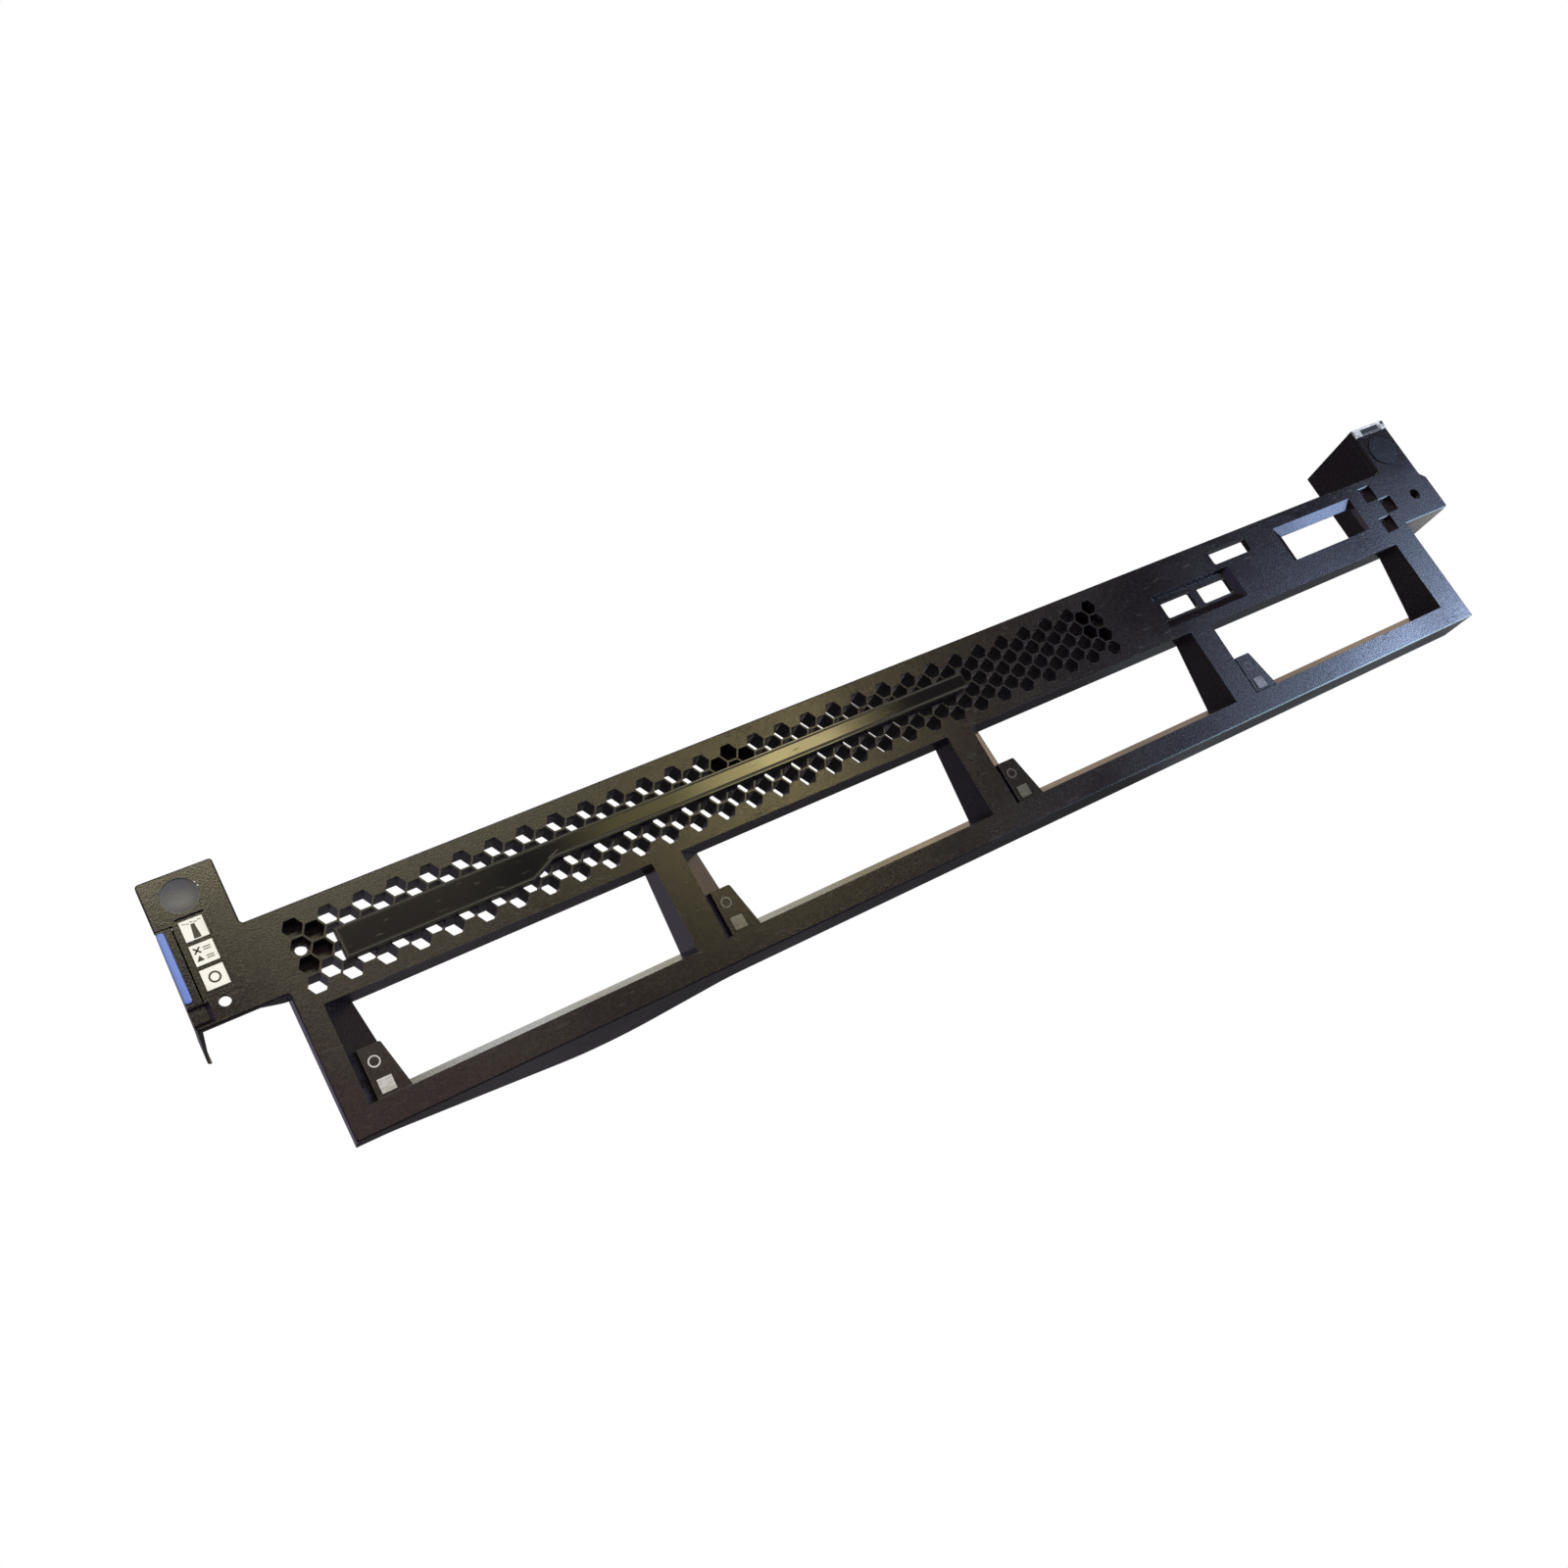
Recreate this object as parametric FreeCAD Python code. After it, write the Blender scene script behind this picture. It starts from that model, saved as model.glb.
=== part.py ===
import FreeCAD, Part
import math
import os

# Front bezel of a rack server: one moulded frame with two ears, a honeycomb air grille,
# four drive windows and a service panel, and the small pieces that are fixed to it.
#
# Frame of the model, in millimetres: X runs along the width, to the right seen from the
# front; +Z is up; the front faces -Y. The origin is in the middle of the width, on the
# underside of the lower lip, in the plane of the rim's rear edge.

V = FreeCAD.Vector

# Overall sizes
panel_width = 482.6
ear_reach = 23.8
frame_height = 65.2
rim_depth = 10.0
lip_depth = 16.0
front_wall = 2.4
wall = 2.0
edge_break = 0.4
plate_corner = 0.9

# Ears
ear_width = 20.0
ear_base_below_top = 22.7
ear_height = 42.7
ear_corner = 1.1
left_ear_wall = 2.0
right_ear_depth = 30.0

# Drive windows
window_count = 4
window_rib = 9.5
window_margin = 6.5
window_right_margin = 11.6
window_bottom = 7.5
window_below_top = 28.8
side_slope = 0.8
ramp_rise = 0.3
sloped_rear_base = 6.0

# Drive tabs in the lower left corner of each window
tab_depth = 2.5
tab_thickness = 1.6
tab_left = 2.8
tab_top_right = 9.3
tab_bottom_right = 12.3
tab_top = 22.2
tab_corner = 0.8

# Honeycomb grille
hex_pitch = 5.53
hex_flats = 5.0
grille_depth = 7.5
hex_first_x = 7.4
hex_top_margin = 6.5
grille_right_margin = 5.0

# Screw bosses at both ends of the grille and a catch block near its middle
catch_column = 28
blind_depth = 5.0
boss_radius = 4.4
boss_proud = 2.0
boss_web_start = 3.0
boss_web = 1.6
boss_hole_radius = 1.6
boss_socket_radius = 2.95
catch_width = 10.0
catch_height = 6.0

# Name bar across the grille: a wide plate that narrows to a strip
bar_height = 3.0
bar_draft = 0.4
bar_margin = 16.3
bar_length = 209.0
bar_plate_length = 54.0
bar_step_run = 7.6
bar_step_round = 3.0
bar_below_top = 11.6
bar_plate_height = 9.2
bar_strip_height = 5.5
bar_end_round = 2.4
bar_overlap = 0.25

# Service panel at the right: three ports, the display window and three pockets,
# all placed from the frame's right end and its top
service_length = 149.0
port_height = 6.2
port_width = 13.9
port_round = 0.8
port_from_end = 120.5
port_gap = 3.5
port_below_top = 20.5
port_recess_depth = 2.6
port_recess_floor = 1.5
port_recess_sides = (1.3, 0.3, 1.0, 2.2)
port_recess_slopes = (3.2, 1.9, 3.0, 0.5)
port_pad_margin = 1.5
slot_from_end = 91.7
slot_width = 18.5
slot_height = 5.5
slot_below_top = 9.5
slot_round = 0.9
display_from_end = 59.0
display_width = 41.0
display_below_top = 19.4
display_height = 14.4
display_bevels = (3.5, 0.4, 0.3, 3.4)
display_bevel_depth = 2.0
pocket_size = 6.2
pocket_depth = 1.9
pocket_floor = 0.4
pocket_lip = 0.45
pockets_from_end = (11.3, 5.4, 11.3)
pockets_below_top = (9.6, 16.3, 23.5)

# Rear tongue under the lower lip
tongue_crown_from_end = 76.5
tongue_crown = 32.0
tongue_crown_radius = 40.0
tongue_left_from_end = 9.5
tongue_left_depth = 7.2
tongue_right_from_end = 113.8
tongue_foot_radius = 22.0
left_corner_depth = 6.6

# Left ear details, placed from the panel's left end and from the ear's base or top
disc_from_end = 9.2
disc_below_top = 7.0
disc_radius = 4.9
disc_recess = 1.3
disc_thickness = 0.9
disc_dish = 0.5
disc_rim = 0.3
label_from_end = 5.4
label_width = 7.6
label_above_base = 8.0
label_height = 22.0
label_recess = 0.7
tile_width = 6.0
tile_height = 5.8
tile_pitch = 7.05
tile_thickness = 0.3
finger_gap = 0.4
finger_above_base = 2.1
finger_depth = 1.2
gusset_run = 7.6
gusset_reach = 8.0
ear_hole_from_end = 9.1
ear_hole_above_base = 5.0
ear_hole_radius = 1.6

# Latch: a pad at the front edge of the left ear with a long blade behind it
latch_above_base = 6.8
latch_height = 21.7
latch_from_end = 4.0
latch_gap = 0.55
latch_pad = 1.4
latch_inset = 0.15
blade_above_base = 0.3
blade_front_thickness = 1.4
blade_tip_thickness = 0.6
blade_length = 36.0
blade_tip_height = 7.0
blade_hook = 0.6
blade_hook_length = 1.6
blade_taper = 0.5
blade_clearance = 0.8
touch_strip_width = 1.9
touch_strip_low_margin = 1.0
touch_strip_top_margin = 0.6
touch_strip_proud = 0.7
pin_from_end = 3.1
pin_y = 3.5
pin_radius = 0.75
pin_end = 2.0
pin_clearance = 0.05
barrel_radius = 1.45
lug_height = 2.0
lug_wall = 0.5
lug_gap = 0.3
stop_rib_gap = 0.3
stop_rib_width = 0.8
stop_rib_depth = 3.8
spring_wire = 0.25
spring_turns = 3
spring_gap = 0.1
spring_leg = 4.0

# Right ear details, placed from the panel's right end and from the ear's base or top
ear_notch_depth = 2.1
ear_notch_above_base = 16.5
badge_from_end = 19.8
badge_width = 17.3
badge_below_top = 3.8
badge_height = 3.4
badge_thickness = 0.5
badge_field_width = 9.4
badge_field_height = 1.8
round_badge_from_end = 11.4
round_badge_below_top = 12.0
round_badge_radius = 6.2
round_badge_thickness = 0.35
right_hole_from_end = 11.0
right_hole_above_base = 9.4
right_hole_radius = 2.2
hook_width = 8.0
hook_reach = 4.0
hook_thickness = 1.8
hook_lip = 1.2
hooks_above_base = (5.5, 25.5)
housing_drop = 1.0
housing_gap = 0.3

# Labels on the drive tabs
drive_label_size = 4.0
drive_label_left = 4.3
drive_label_above_sill = 1.4
drive_label_thickness = 0.25

# Derived places of the whole
front_y = -rim_depth
half_panel = panel_width / 2
half_frame = half_panel - ear_reach
frame_width = 2 * half_frame
ear_inner = half_panel - ear_width
ear_base = frame_height - ear_base_below_top
ear_top = ear_base + ear_height
sloped_rear_run = lip_depth - rim_depth

# Derived places of windows and grille
window_top = frame_height - window_below_top
window_pitch = (frame_width - window_margin - window_right_margin + window_rib) / window_count
window_width = window_pitch - window_rib
hex_step = hex_pitch * math.sqrt(3) / 2
hex_left_x = -half_frame + hex_first_x
hex_top_row = frame_height - hex_top_margin
hex_columns = int((half_frame - service_length - hex_left_x) / hex_step) + 1
screw_columns = (0, hex_columns - 1)
grille_left = -half_frame + wall
grille_right = hex_left_x + (hex_columns - 1) * hex_step + grille_right_margin
grille_bottom = window_top + wall
grille_top = frame_height - wall
hex_rows = int((hex_top_row - grille_bottom - hex_flats / 2) / hex_pitch) + 1

# Derived places of the name bar and the service panel
bar_left = -half_frame + bar_margin
bar_right = bar_left + bar_length
bar_step_start = bar_left + bar_plate_length
bar_step_end = bar_step_start + bar_step_run
bar_top = frame_height - bar_below_top
bar_plate_bottom = bar_top - bar_plate_height
bar_strip_bottom = bar_top - bar_strip_height
port_left = half_frame - port_from_end
port_base = frame_height - port_below_top
slot_left = half_frame - slot_from_end
slot_base = frame_height - slot_below_top
display_left = half_frame - display_from_end
display_right = display_left + display_width
display_base = frame_height - display_below_top
display_top = display_base + display_height
pocket_places = [(half_frame - x, frame_height - z) for x, z in zip(pockets_from_end, pockets_below_top)]

# Derived places of the tongue
tongue_crown_x = -half_frame + tongue_crown_from_end
tongue_left = -half_frame + tongue_left_from_end
tongue_right = -half_frame + tongue_right_from_end

# Derived places of the left ear and the latch
disc_x = -half_panel + disc_from_end
disc_z = ear_top - disc_below_top
label_left = -half_panel + label_from_end
label_right = label_left + label_width
label_base = ear_base + label_above_base
ear_hole_x = -half_panel + ear_hole_from_end
ear_hole_z = ear_base + ear_hole_above_base
latch_base = ear_base + latch_above_base
latch_top = latch_base + latch_height
latch_right = -half_panel + latch_from_end
finger_top = latch_base - finger_gap
finger_base = ear_base + finger_above_base
blade_base = ear_base + blade_above_base
touch_strip_base = latch_base + touch_strip_low_margin
touch_strip_top = latch_top - touch_strip_top_margin
pin_x = -half_panel + pin_from_end

# Derived places of the right ear
ear_notch_base = ear_base + ear_notch_above_base
badge_left = half_panel - badge_from_end
badge_right = badge_left + badge_width
badge_base = ear_top - badge_below_top
round_badge_x = half_panel - round_badge_from_end
round_badge_z = ear_top - round_badge_below_top
right_hole_x = half_panel - right_hole_from_end
right_hole_z = ear_base + right_hole_above_base
hook_heights = [ear_base + height for height in hooks_above_base]
drive_label_base = window_bottom + drive_label_above_sill


def box(x0, x1, y0, y1, z0, z1):
    """A block between two corners."""
    return Part.makeBox(x1 - x0, y1 - y0, z1 - z0, V(x0, y0, z0))


def at_depth(depth):
    """The y of a plane that lies this far behind the front face."""
    return front_y + depth


def rounded_loop(spots, radii):
    """A closed wire through these corners, each rounded by its own radius; 0 stays sharp."""
    count = len(spots)
    starts, ends, middles = [], [], []
    for i in range(count):
        corner, radius = spots[i], radii[i]
        back = (spots[i - 1] - corner).normalize()
        ahead = (spots[(i + 1) % count] - corner).normalize()
        half_turn = back.getAngle(ahead) / 2
        trim = radius / math.tan(half_turn)
        starts.append(corner + back * trim)
        ends.append(corner + ahead * trim)
        bisector = (back + ahead).normalize()
        middles.append(corner + bisector * (radius / math.sin(half_turn) - radius))
    edges = []
    for i in range(count):
        if radii[i] > 0:
            edges.append(Part.Arc(starts[i], middles[i], ends[i]).toShape())
        following = (i + 1) % count
        if (starts[following] - ends[i]).Length > 1e-6:
            edges.append(Part.LineSegment(ends[i], starts[following]).toShape())
    return Part.Wire(edges)


def front_wire(points, y):
    """A closed wire in a plane parallel to the front; each point is (x, z) or (x, z, radius)."""
    return rounded_loop([V(p[0], y, p[1]) for p in points], [p[2] if len(p) > 2 else 0.0 for p in points])


def slab(points, z0, height):
    """A flat solid with its outline in the top view; each point is (x, y) or (x, y, radius)."""
    wire = rounded_loop([V(p[0], p[1], z0) for p in points], [p[2] if len(p) > 2 else 0.0 for p in points])
    return Part.Face(wire).extrude(V(0, 0, height))


def plate(points, depth, thickness, holes=()):
    """A plate parallel to the front, its face at this depth behind the front face."""
    wires = [front_wire(outline, at_depth(depth)) for outline in [points] + list(holes)]
    face = Part.makeFace(Part.makeCompound(wires), "Part::FaceMakerBullseye")
    return face.extrude(V(0, thickness, 0))


def rectangle(x0, x1, z0, z1, radius=0.0):
    """The four corners of a rectangle, each with the same corner radius."""
    return [(x0, z0, radius), (x1, z0, radius), (x1, z1, radius), (x0, z1, radius)]


def tapered_block(front, front_depth, back, back_depth):
    """A solid between two rectangles (x0, x1, z0, z1) at two depths behind the front face."""
    y0, y1 = at_depth(front_depth), at_depth(back_depth)
    near = [V(front[0], y0, front[2]), V(front[1], y0, front[2]),
            V(front[1], y0, front[3]), V(front[0], y0, front[3])]
    far = [V(back[0], y1, back[2]), V(back[1], y1, back[2]),
           V(back[1], y1, back[3]), V(back[0], y1, back[3])]
    loops = [near, far]
    for i in range(4):
        j = (i + 1) % 4
        loops.append([near[i], near[j], far[j], far[i]])
    faces = [Part.Face(Part.makePolygon(loop + [loop[0]])) for loop in loops]
    solid = Part.Solid(Part.Shell(faces))
    solid.fixTolerance(1e-6)
    return solid if solid.Volume > 0 else solid.reversed()


def side_prism(points, x0, x1):
    """A solid with its outline in the side view, points (y, z), between two values of x."""
    loop = [V(x0, y, z) for y, z in points]
    return Part.Face(Part.makePolygon(loop + [loop[0]])).extrude(V(x1 - x0, 0, 0))


def window_left(index):
    """Left front edge of one drive window."""
    return -half_frame + window_margin + index * window_pitch


def window_rectangle(index, depth, grow=0.0):
    """The window's section at a depth; its left wall leans in and its floor rises."""
    left = window_left(index)
    return (left + side_slope * depth - grow, left + window_width + grow,
            window_bottom + ramp_rise * depth - grow, window_top + grow)


def window_solid(index, grow=0.0, overshoot=0.0):
    """The funnel of one window, or with grow its outside."""
    reach = lip_depth + overshoot
    return tapered_block(window_rectangle(index, -overshoot, grow), -overshoot,
                         window_rectangle(index, reach, grow), reach)


def hex_centre(column, row):
    """Centre of one cell; odd columns sit half a pitch lower."""
    shift = 0.5 if column % 2 else 0.0
    return hex_left_x + column * hex_step, hex_top_row - (row + shift) * hex_pitch


def hexagon(x, z, flats=hex_flats):
    """Corners of a hexagon with flats at top and bottom."""
    radius = flats / math.sqrt(3)
    return [(x + radius * math.cos(k * math.pi / 3), z + radius * math.sin(k * math.pi / 3))
            for k in range(6)]


def behind_bar(x, z):
    """Whether a cell would lie under the name bar, where the grille stays closed."""
    low = bar_plate_bottom if x < bar_step_start else bar_strip_bottom
    across = hex_flats / math.sqrt(3)
    inside_width = bar_left - bar_overlap < x - across and x + across < bar_right + bar_overlap
    return inside_width and low - bar_overlap < z - hex_flats / 2 and z + hex_flats / 2 < bar_top + bar_overlap


def behind_boss(x, z):
    """Whether a cell is closed at the back by a screw boss or by the catch block."""
    for column in screw_columns:
        boss_x, boss_z = hex_centre(column, 1)
        if math.hypot(x - boss_x, z - boss_z) < 1.1 * hex_pitch:
            return True
    catch_x, catch_z = hex_centre(catch_column, 1)
    return math.hypot(x - catch_x, z - catch_z) < 1.1 * hex_pitch and z > catch_z - hex_pitch / 4


def make_grille():
    """The honeycomb between the top wall and the window tops, closed only behind bar and bosses."""
    through, blind = [], []
    for column in range(hex_columns):
        rows = hex_rows if column % 2 == 0 else hex_rows - 1
        for x, z in [hex_centre(column, row) for row in range(rows)]:
            if behind_boss(x, z):
                is_screw_cell = any(math.hypot(x - hex_centre(c, 1)[0], z - hex_centre(c, 1)[1]) < hex_pitch / 4
                                    for c in screw_columns)
                blind.append(plate(hexagon(x, z), 0, boss_web_start if is_screw_cell else blind_depth))
            elif not behind_bar(x, z):
                through.append(hexagon(x, z))
    block = plate(rectangle(grille_left, grille_right, grille_bottom, grille_top), 0, grille_depth, through)
    drills = []
    for column in screw_columns:
        x, z = hex_centre(column, 1)
        boss = Part.makeCylinder(boss_radius, boss_proud, V(x, at_depth(grille_depth), z), V(0, 1, 0))
        block = block.fuse(boss)
        drills.append(Part.makeCylinder(boss_hole_radius, rim_depth, V(x, front_y, z), V(0, 1, 0)))
        drills.append(Part.makeCylinder(boss_socket_radius, rim_depth, V(x, at_depth(boss_web_start + boss_web), z),
                                        V(0, 1, 0)))
    catch_x = hex_centre(catch_column, 1)[0]
    block = block.fuse(box(catch_x - catch_width / 2, catch_x + catch_width / 2, at_depth(grille_depth), 0,
                           grille_top - catch_height, grille_top))
    return block.cut(Part.makeCompound(blind + drills))


def front_outline():
    """Outline of the whole front: the frame with both ears, counted from its lower left corner."""
    notch_x = half_panel - ear_notch_depth
    return [
        (-half_frame, 0, plate_corner),
        (half_frame, 0, plate_corner),
        (half_frame, ear_base),
        (half_panel, ear_base, ear_corner),
        (half_panel, ear_notch_base - ear_notch_depth, ear_corner),
        (notch_x, ear_notch_base, plate_corner),
        (notch_x, ear_top, plate_corner),
        (ear_inner, ear_top, plate_corner),
        (ear_inner, frame_height, ear_corner),
        (-ear_inner, frame_height, ear_corner),
        (-ear_inner, ear_top, plate_corner),
        (-half_panel, ear_top, ear_corner),
        (-half_panel, ear_base, ear_corner),
        (-half_frame, ear_base, plate_corner),
    ]


def make_front_plate():
    """The front wall of frame and ears, its outer edge broken, with a clear field for the grille."""
    sheet = plate(front_outline(), 0, front_wall)
    front = [face for face in sheet.Faces if abs(face.BoundBox.YMax - front_y) < 1e-4][0]
    sheet = sheet.makeChamfer(edge_break, front.OuterWire.Edges)
    field = plate(rectangle(grille_left, grille_right, grille_bottom, grille_top), 0, front_wall)
    thinned = box(-half_panel, -half_frame, at_depth(left_ear_wall), at_depth(front_wall), ear_base, ear_top)
    return sheet.cut(Part.makeCompound([field, thinned]))


def left_ear_cuts():
    """The beds, the hole and the latch opening of the flat left ear."""
    disc_bed = Part.makeCylinder(disc_radius, disc_recess, V(disc_x, front_y, disc_z), V(0, 1, 0))
    label_bed = plate(rectangle(label_left, label_right, label_base, label_base + label_height), 0, label_recess)
    finger = tapered_block((-half_panel, label_left, finger_base - finger_depth, finger_top), 0,
                           (-half_panel, label_left - finger_depth, finger_base, finger_top), finger_depth)
    drill = Part.makeCylinder(ear_hole_radius, left_ear_wall, V(ear_hole_x, front_y, ear_hole_z), V(0, 1, 0))
    latch_opening = box(-half_panel, latch_right + latch_gap, front_y, at_depth(front_wall),
                        latch_base - latch_gap / 2, latch_top + latch_gap / 2)
    return [disc_bed, label_bed, finger, drill, latch_opening]


def make_lugs():
    """Two lugs behind the ear that hold the latch pin, and the rib that stops the lever."""
    lugs = []
    reach = pin_radius + lug_wall
    for z in (latch_base - lug_gap - lug_height, latch_top + lug_gap):
        block = box(pin_x - reach, pin_x + reach, at_depth(left_ear_wall * 0.75), at_depth(pin_y + reach),
                    z, z + lug_height)
        bore = Part.makeCylinder(pin_radius + pin_clearance, lug_height, V(pin_x, at_depth(pin_y), z))
        lugs.append(block.cut(bore))
    rib_left = latch_right + latch_gap + stop_rib_gap
    lugs.append(box(rib_left, rib_left + stop_rib_width, at_depth(left_ear_wall * 0.75), at_depth(stop_rib_depth),
                    latch_base - latch_gap / 2, latch_top + latch_gap / 2))
    return lugs


def make_ear_gusset():
    """The flange under the left ear that runs out from the frame's end wall."""
    inside = -half_frame + wall
    foot = -half_frame - gusset_run
    outline = [
        (inside, at_depth(left_ear_wall / 2)),
        (inside, at_depth(gusset_reach)),
        (-half_frame - gusset_run / 4, at_depth(gusset_reach * 0.8), gusset_reach / 2),
        (foot, at_depth(left_ear_wall)),
        (foot, at_depth(left_ear_wall / 2)),
    ]
    return slab(outline, ear_base, wall)


def rear_trim():
    """Everything behind the rear edge of the walls: straight above, leaning back below."""
    far = 60.0
    points = [(0, frame_height + far), (0, window_top), (sloped_rear_run, sloped_rear_base),
              (sloped_rear_run, -far), (far, -far), (far, frame_height + far)]
    return side_prism(points, -half_panel, half_panel)


def make_walls():
    """The rim round the frame and the four window funnels, trimmed to the rear edge."""
    back = sloped_rear_run
    start = at_depth(front_wall / 2)
    rim = [
        box(-half_frame, half_frame, start, back, frame_height - wall, frame_height),
        box(-half_frame, -half_frame + wall, start, back, 0, frame_height),
        box(half_frame - wall, half_frame, start, back, 0, frame_height),
    ]
    funnels = [window_solid(i, wall) for i in range(window_count)]
    ribs = [box(grille_right, grille_right + wall, start, back, grille_bottom, grille_top)]
    body = rim[0].multiFuse(rim[1:] + funnels + ribs)
    envelope = box(-half_frame, half_frame, front_y + edge_break, back, 0, frame_height)
    body = body.common(envelope).cut(rear_trim())
    end_trim = side_prism([(at_depth(left_corner_depth), -wall), (0, ear_base), (lip_depth, ear_base),
                           (lip_depth, -wall)], -half_frame - wall, -half_frame + wall)
    return body.cut(end_trim)


def make_lip():
    """The lower lip, whose rear edge swells into a tongue towards the left end."""
    back = sloped_rear_run
    outline = [
        (-half_frame, at_depth(edge_break)),
        (half_frame, at_depth(edge_break)),
        (half_frame, back),
        (tongue_right, back, tongue_foot_radius),
        (tongue_crown_x, at_depth(tongue_crown), tongue_crown_radius),
        (tongue_left, at_depth(tongue_left_depth), tongue_foot_radius),
        (-half_frame, at_depth(left_corner_depth)),
    ]
    return slab(outline, 0, wall)


def make_right_ear_housing():
    """The deep housing behind the right ear, open at the back, with two moulded hooks."""
    notch_x = half_panel - ear_notch_depth
    front = at_depth(front_wall)
    back = at_depth(right_ear_depth)
    top = ear_top - edge_break
    low_right = half_panel - edge_break
    outer = side_prism([(front, ear_base), (back, ear_base), (back, top - housing_drop), (front, top)],
                       ear_inner, notch_x)
    foot = box(notch_x, low_right, front, back, ear_base, ear_notch_base - 2 * ear_notch_depth)
    link = box(half_frame + housing_gap, ear_inner, front, back - rim_depth, ear_base, ear_base + wall)
    inner = side_prism([(front, ear_base + wall), (back, ear_base + wall), (back, top - housing_drop - wall),
                        (front, top - wall)], ear_inner + wall, notch_x - wall)
    foot_room = box(notch_x - wall, low_right - wall, front, back, ear_base + wall,
                    ear_notch_base - 2 * ear_notch_depth - wall)
    shell = outer.multiFuse([foot, link]).cut(Part.makeCompound([inner, foot_room]))
    for z in hook_heights:
        root = back - 2 * hook_thickness
        tip = back + hook_reach
        left = notch_x - wall - hook_thickness
        arm = box(left, notch_x - wall / 2, root, tip, z, z + hook_width)
        lip = box(left - hook_lip, left + hook_lip, tip - hook_thickness, tip, z, z + hook_width)
        shell = shell.multiFuse([arm, lip])
    return shell.removeSplitter()


def port_places():
    """Left edges of the two lower ports."""
    return [port_left + i * (port_width + port_gap) for i in range(2)]


def port_recess(depth, grow=0.0):
    """Section (x0, x1, z0, z1) of the recess round the two ports at a depth."""
    places = port_places()
    span = (places[0], places[-1] + port_width, port_base, port_base + port_height)
    share = 1 - depth / port_recess_depth
    reach = [side + slope * share + grow for side, slope in zip(port_recess_sides, port_recess_slopes)]
    return (span[0] - reach[0], span[1] + reach[1], span[2] - reach[2], span[3] + reach[3])


def make_port_pad():
    """The thicker wall behind the recess of the two ports."""
    x0, x1, z0, z1 = port_recess(port_recess_depth, port_pad_margin)
    return box(x0, x1, at_depth(front_wall), at_depth(port_recess_depth + port_recess_floor), z0, z1)


def display_rectangle(depth):
    """Section of the display window's bevelled mouth at a depth."""
    share = depth / display_bevel_depth
    left, right, low, high = [bevel * share for bevel in display_bevels]
    return (display_left + left, display_right - right, display_base + low, display_top - high)


def service_panel_cuts():
    """Everything that is cut into the front wall at the right of the grille."""
    cuts = [tapered_block(port_recess(0), 0, port_recess(port_recess_depth), port_recess_depth)]
    for x in port_places():
        cuts.append(plate(rectangle(x, x + port_width, port_base, port_base + port_height, port_round), 0, rim_depth))
    cuts.append(plate(rectangle(slot_left, slot_left + slot_width, slot_base, slot_base + slot_height, slot_round),
                      0, front_wall))
    inner = display_rectangle(display_bevel_depth)
    cuts.append(tapered_block(display_rectangle(0), 0, inner, display_bevel_depth))
    cuts.append(box(inner[0], inner[1], front_y, at_depth(front_wall), inner[2], inner[3]))
    for x, z in pocket_places:
        cuts.append(tapered_block((x, x + pocket_size, z, z + pocket_size), 0,
                                  (x, x + pocket_size, z + pocket_size - pocket_floor, z + pocket_size), pocket_depth))
        middle = z + pocket_size / 2
        cuts.append(tapered_block((x, x + pocket_size, middle, z + pocket_size + pocket_lip), 0,
                                  (x, x + pocket_size, middle, z + pocket_size), pocket_lip))
    return cuts


def make_tabs():
    """The flat tab in the lower left corner of each window, joined to wall and ramp."""
    tabs = []
    for i in range(window_count):
        left = window_left(i)
        low = window_bottom + ramp_rise * tab_depth - wall / 4
        outline = [(left + tab_left, low), (left + tab_bottom_right, low),
                   (left + tab_top_right, tab_top, tab_corner), (left + tab_left, tab_top)]
        tabs.append(plate(outline, tab_depth, tab_thickness))
    return tabs


def make_frame():
    """The whole moulded frame as one solid."""
    shell = make_front_plate().multiFuse([make_walls(), make_lip(), make_ear_gusset(), make_port_pad()])
    windows = [window_solid(i, 0.0, 1.0) for i in range(window_count)]
    drill = Part.makeCylinder(right_hole_radius, front_wall, V(right_hole_x, front_y, right_hole_z), V(0, 1, 0))
    shell = shell.cut(Part.makeCompound(windows + service_panel_cuts() + left_ear_cuts() + [drill]))
    solid = shell.multiFuse([make_grille()] + make_tabs() + make_lugs())
    return solid.removeSplitter()


def bar_outline(shrink=0.0):
    """Outline of the name bar: wide plate at the left, then a strip with a rounded end."""
    s = shrink
    return [
        (bar_left + s, bar_top - s),
        (bar_left + s, bar_plate_bottom + s),
        (bar_step_start, bar_plate_bottom + s, bar_step_round),
        (bar_step_end, bar_strip_bottom + s, bar_step_round),
        (bar_right - s, bar_strip_bottom + s, bar_end_round),
        (bar_right - s, bar_top - s),
    ]


def make_name_bar():
    """The raised bar with drafted edges, bonded flat on the closed land of the grille."""
    low = plate(bar_outline(), -bar_height + bar_draft, bar_height - bar_draft)
    return low.fuse(plate(bar_outline(bar_draft), -bar_height, bar_draft))


def make_ear_disc():
    """A dished disc that sits in the round recess of the left ear."""
    face_y = at_depth(disc_recess - disc_thickness)
    disc = Part.makeCylinder(disc_radius, disc_thickness, V(disc_x, face_y, disc_z), V(0, 1, 0))
    dish_radius = disc_radius - disc_rim
    ball_radius = (dish_radius ** 2 + disc_dish ** 2) / (2 * disc_dish)
    return disc.cut(Part.makeSphere(ball_radius, V(disc_x, face_y - ball_radius + disc_dish, disc_z)))


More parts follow.
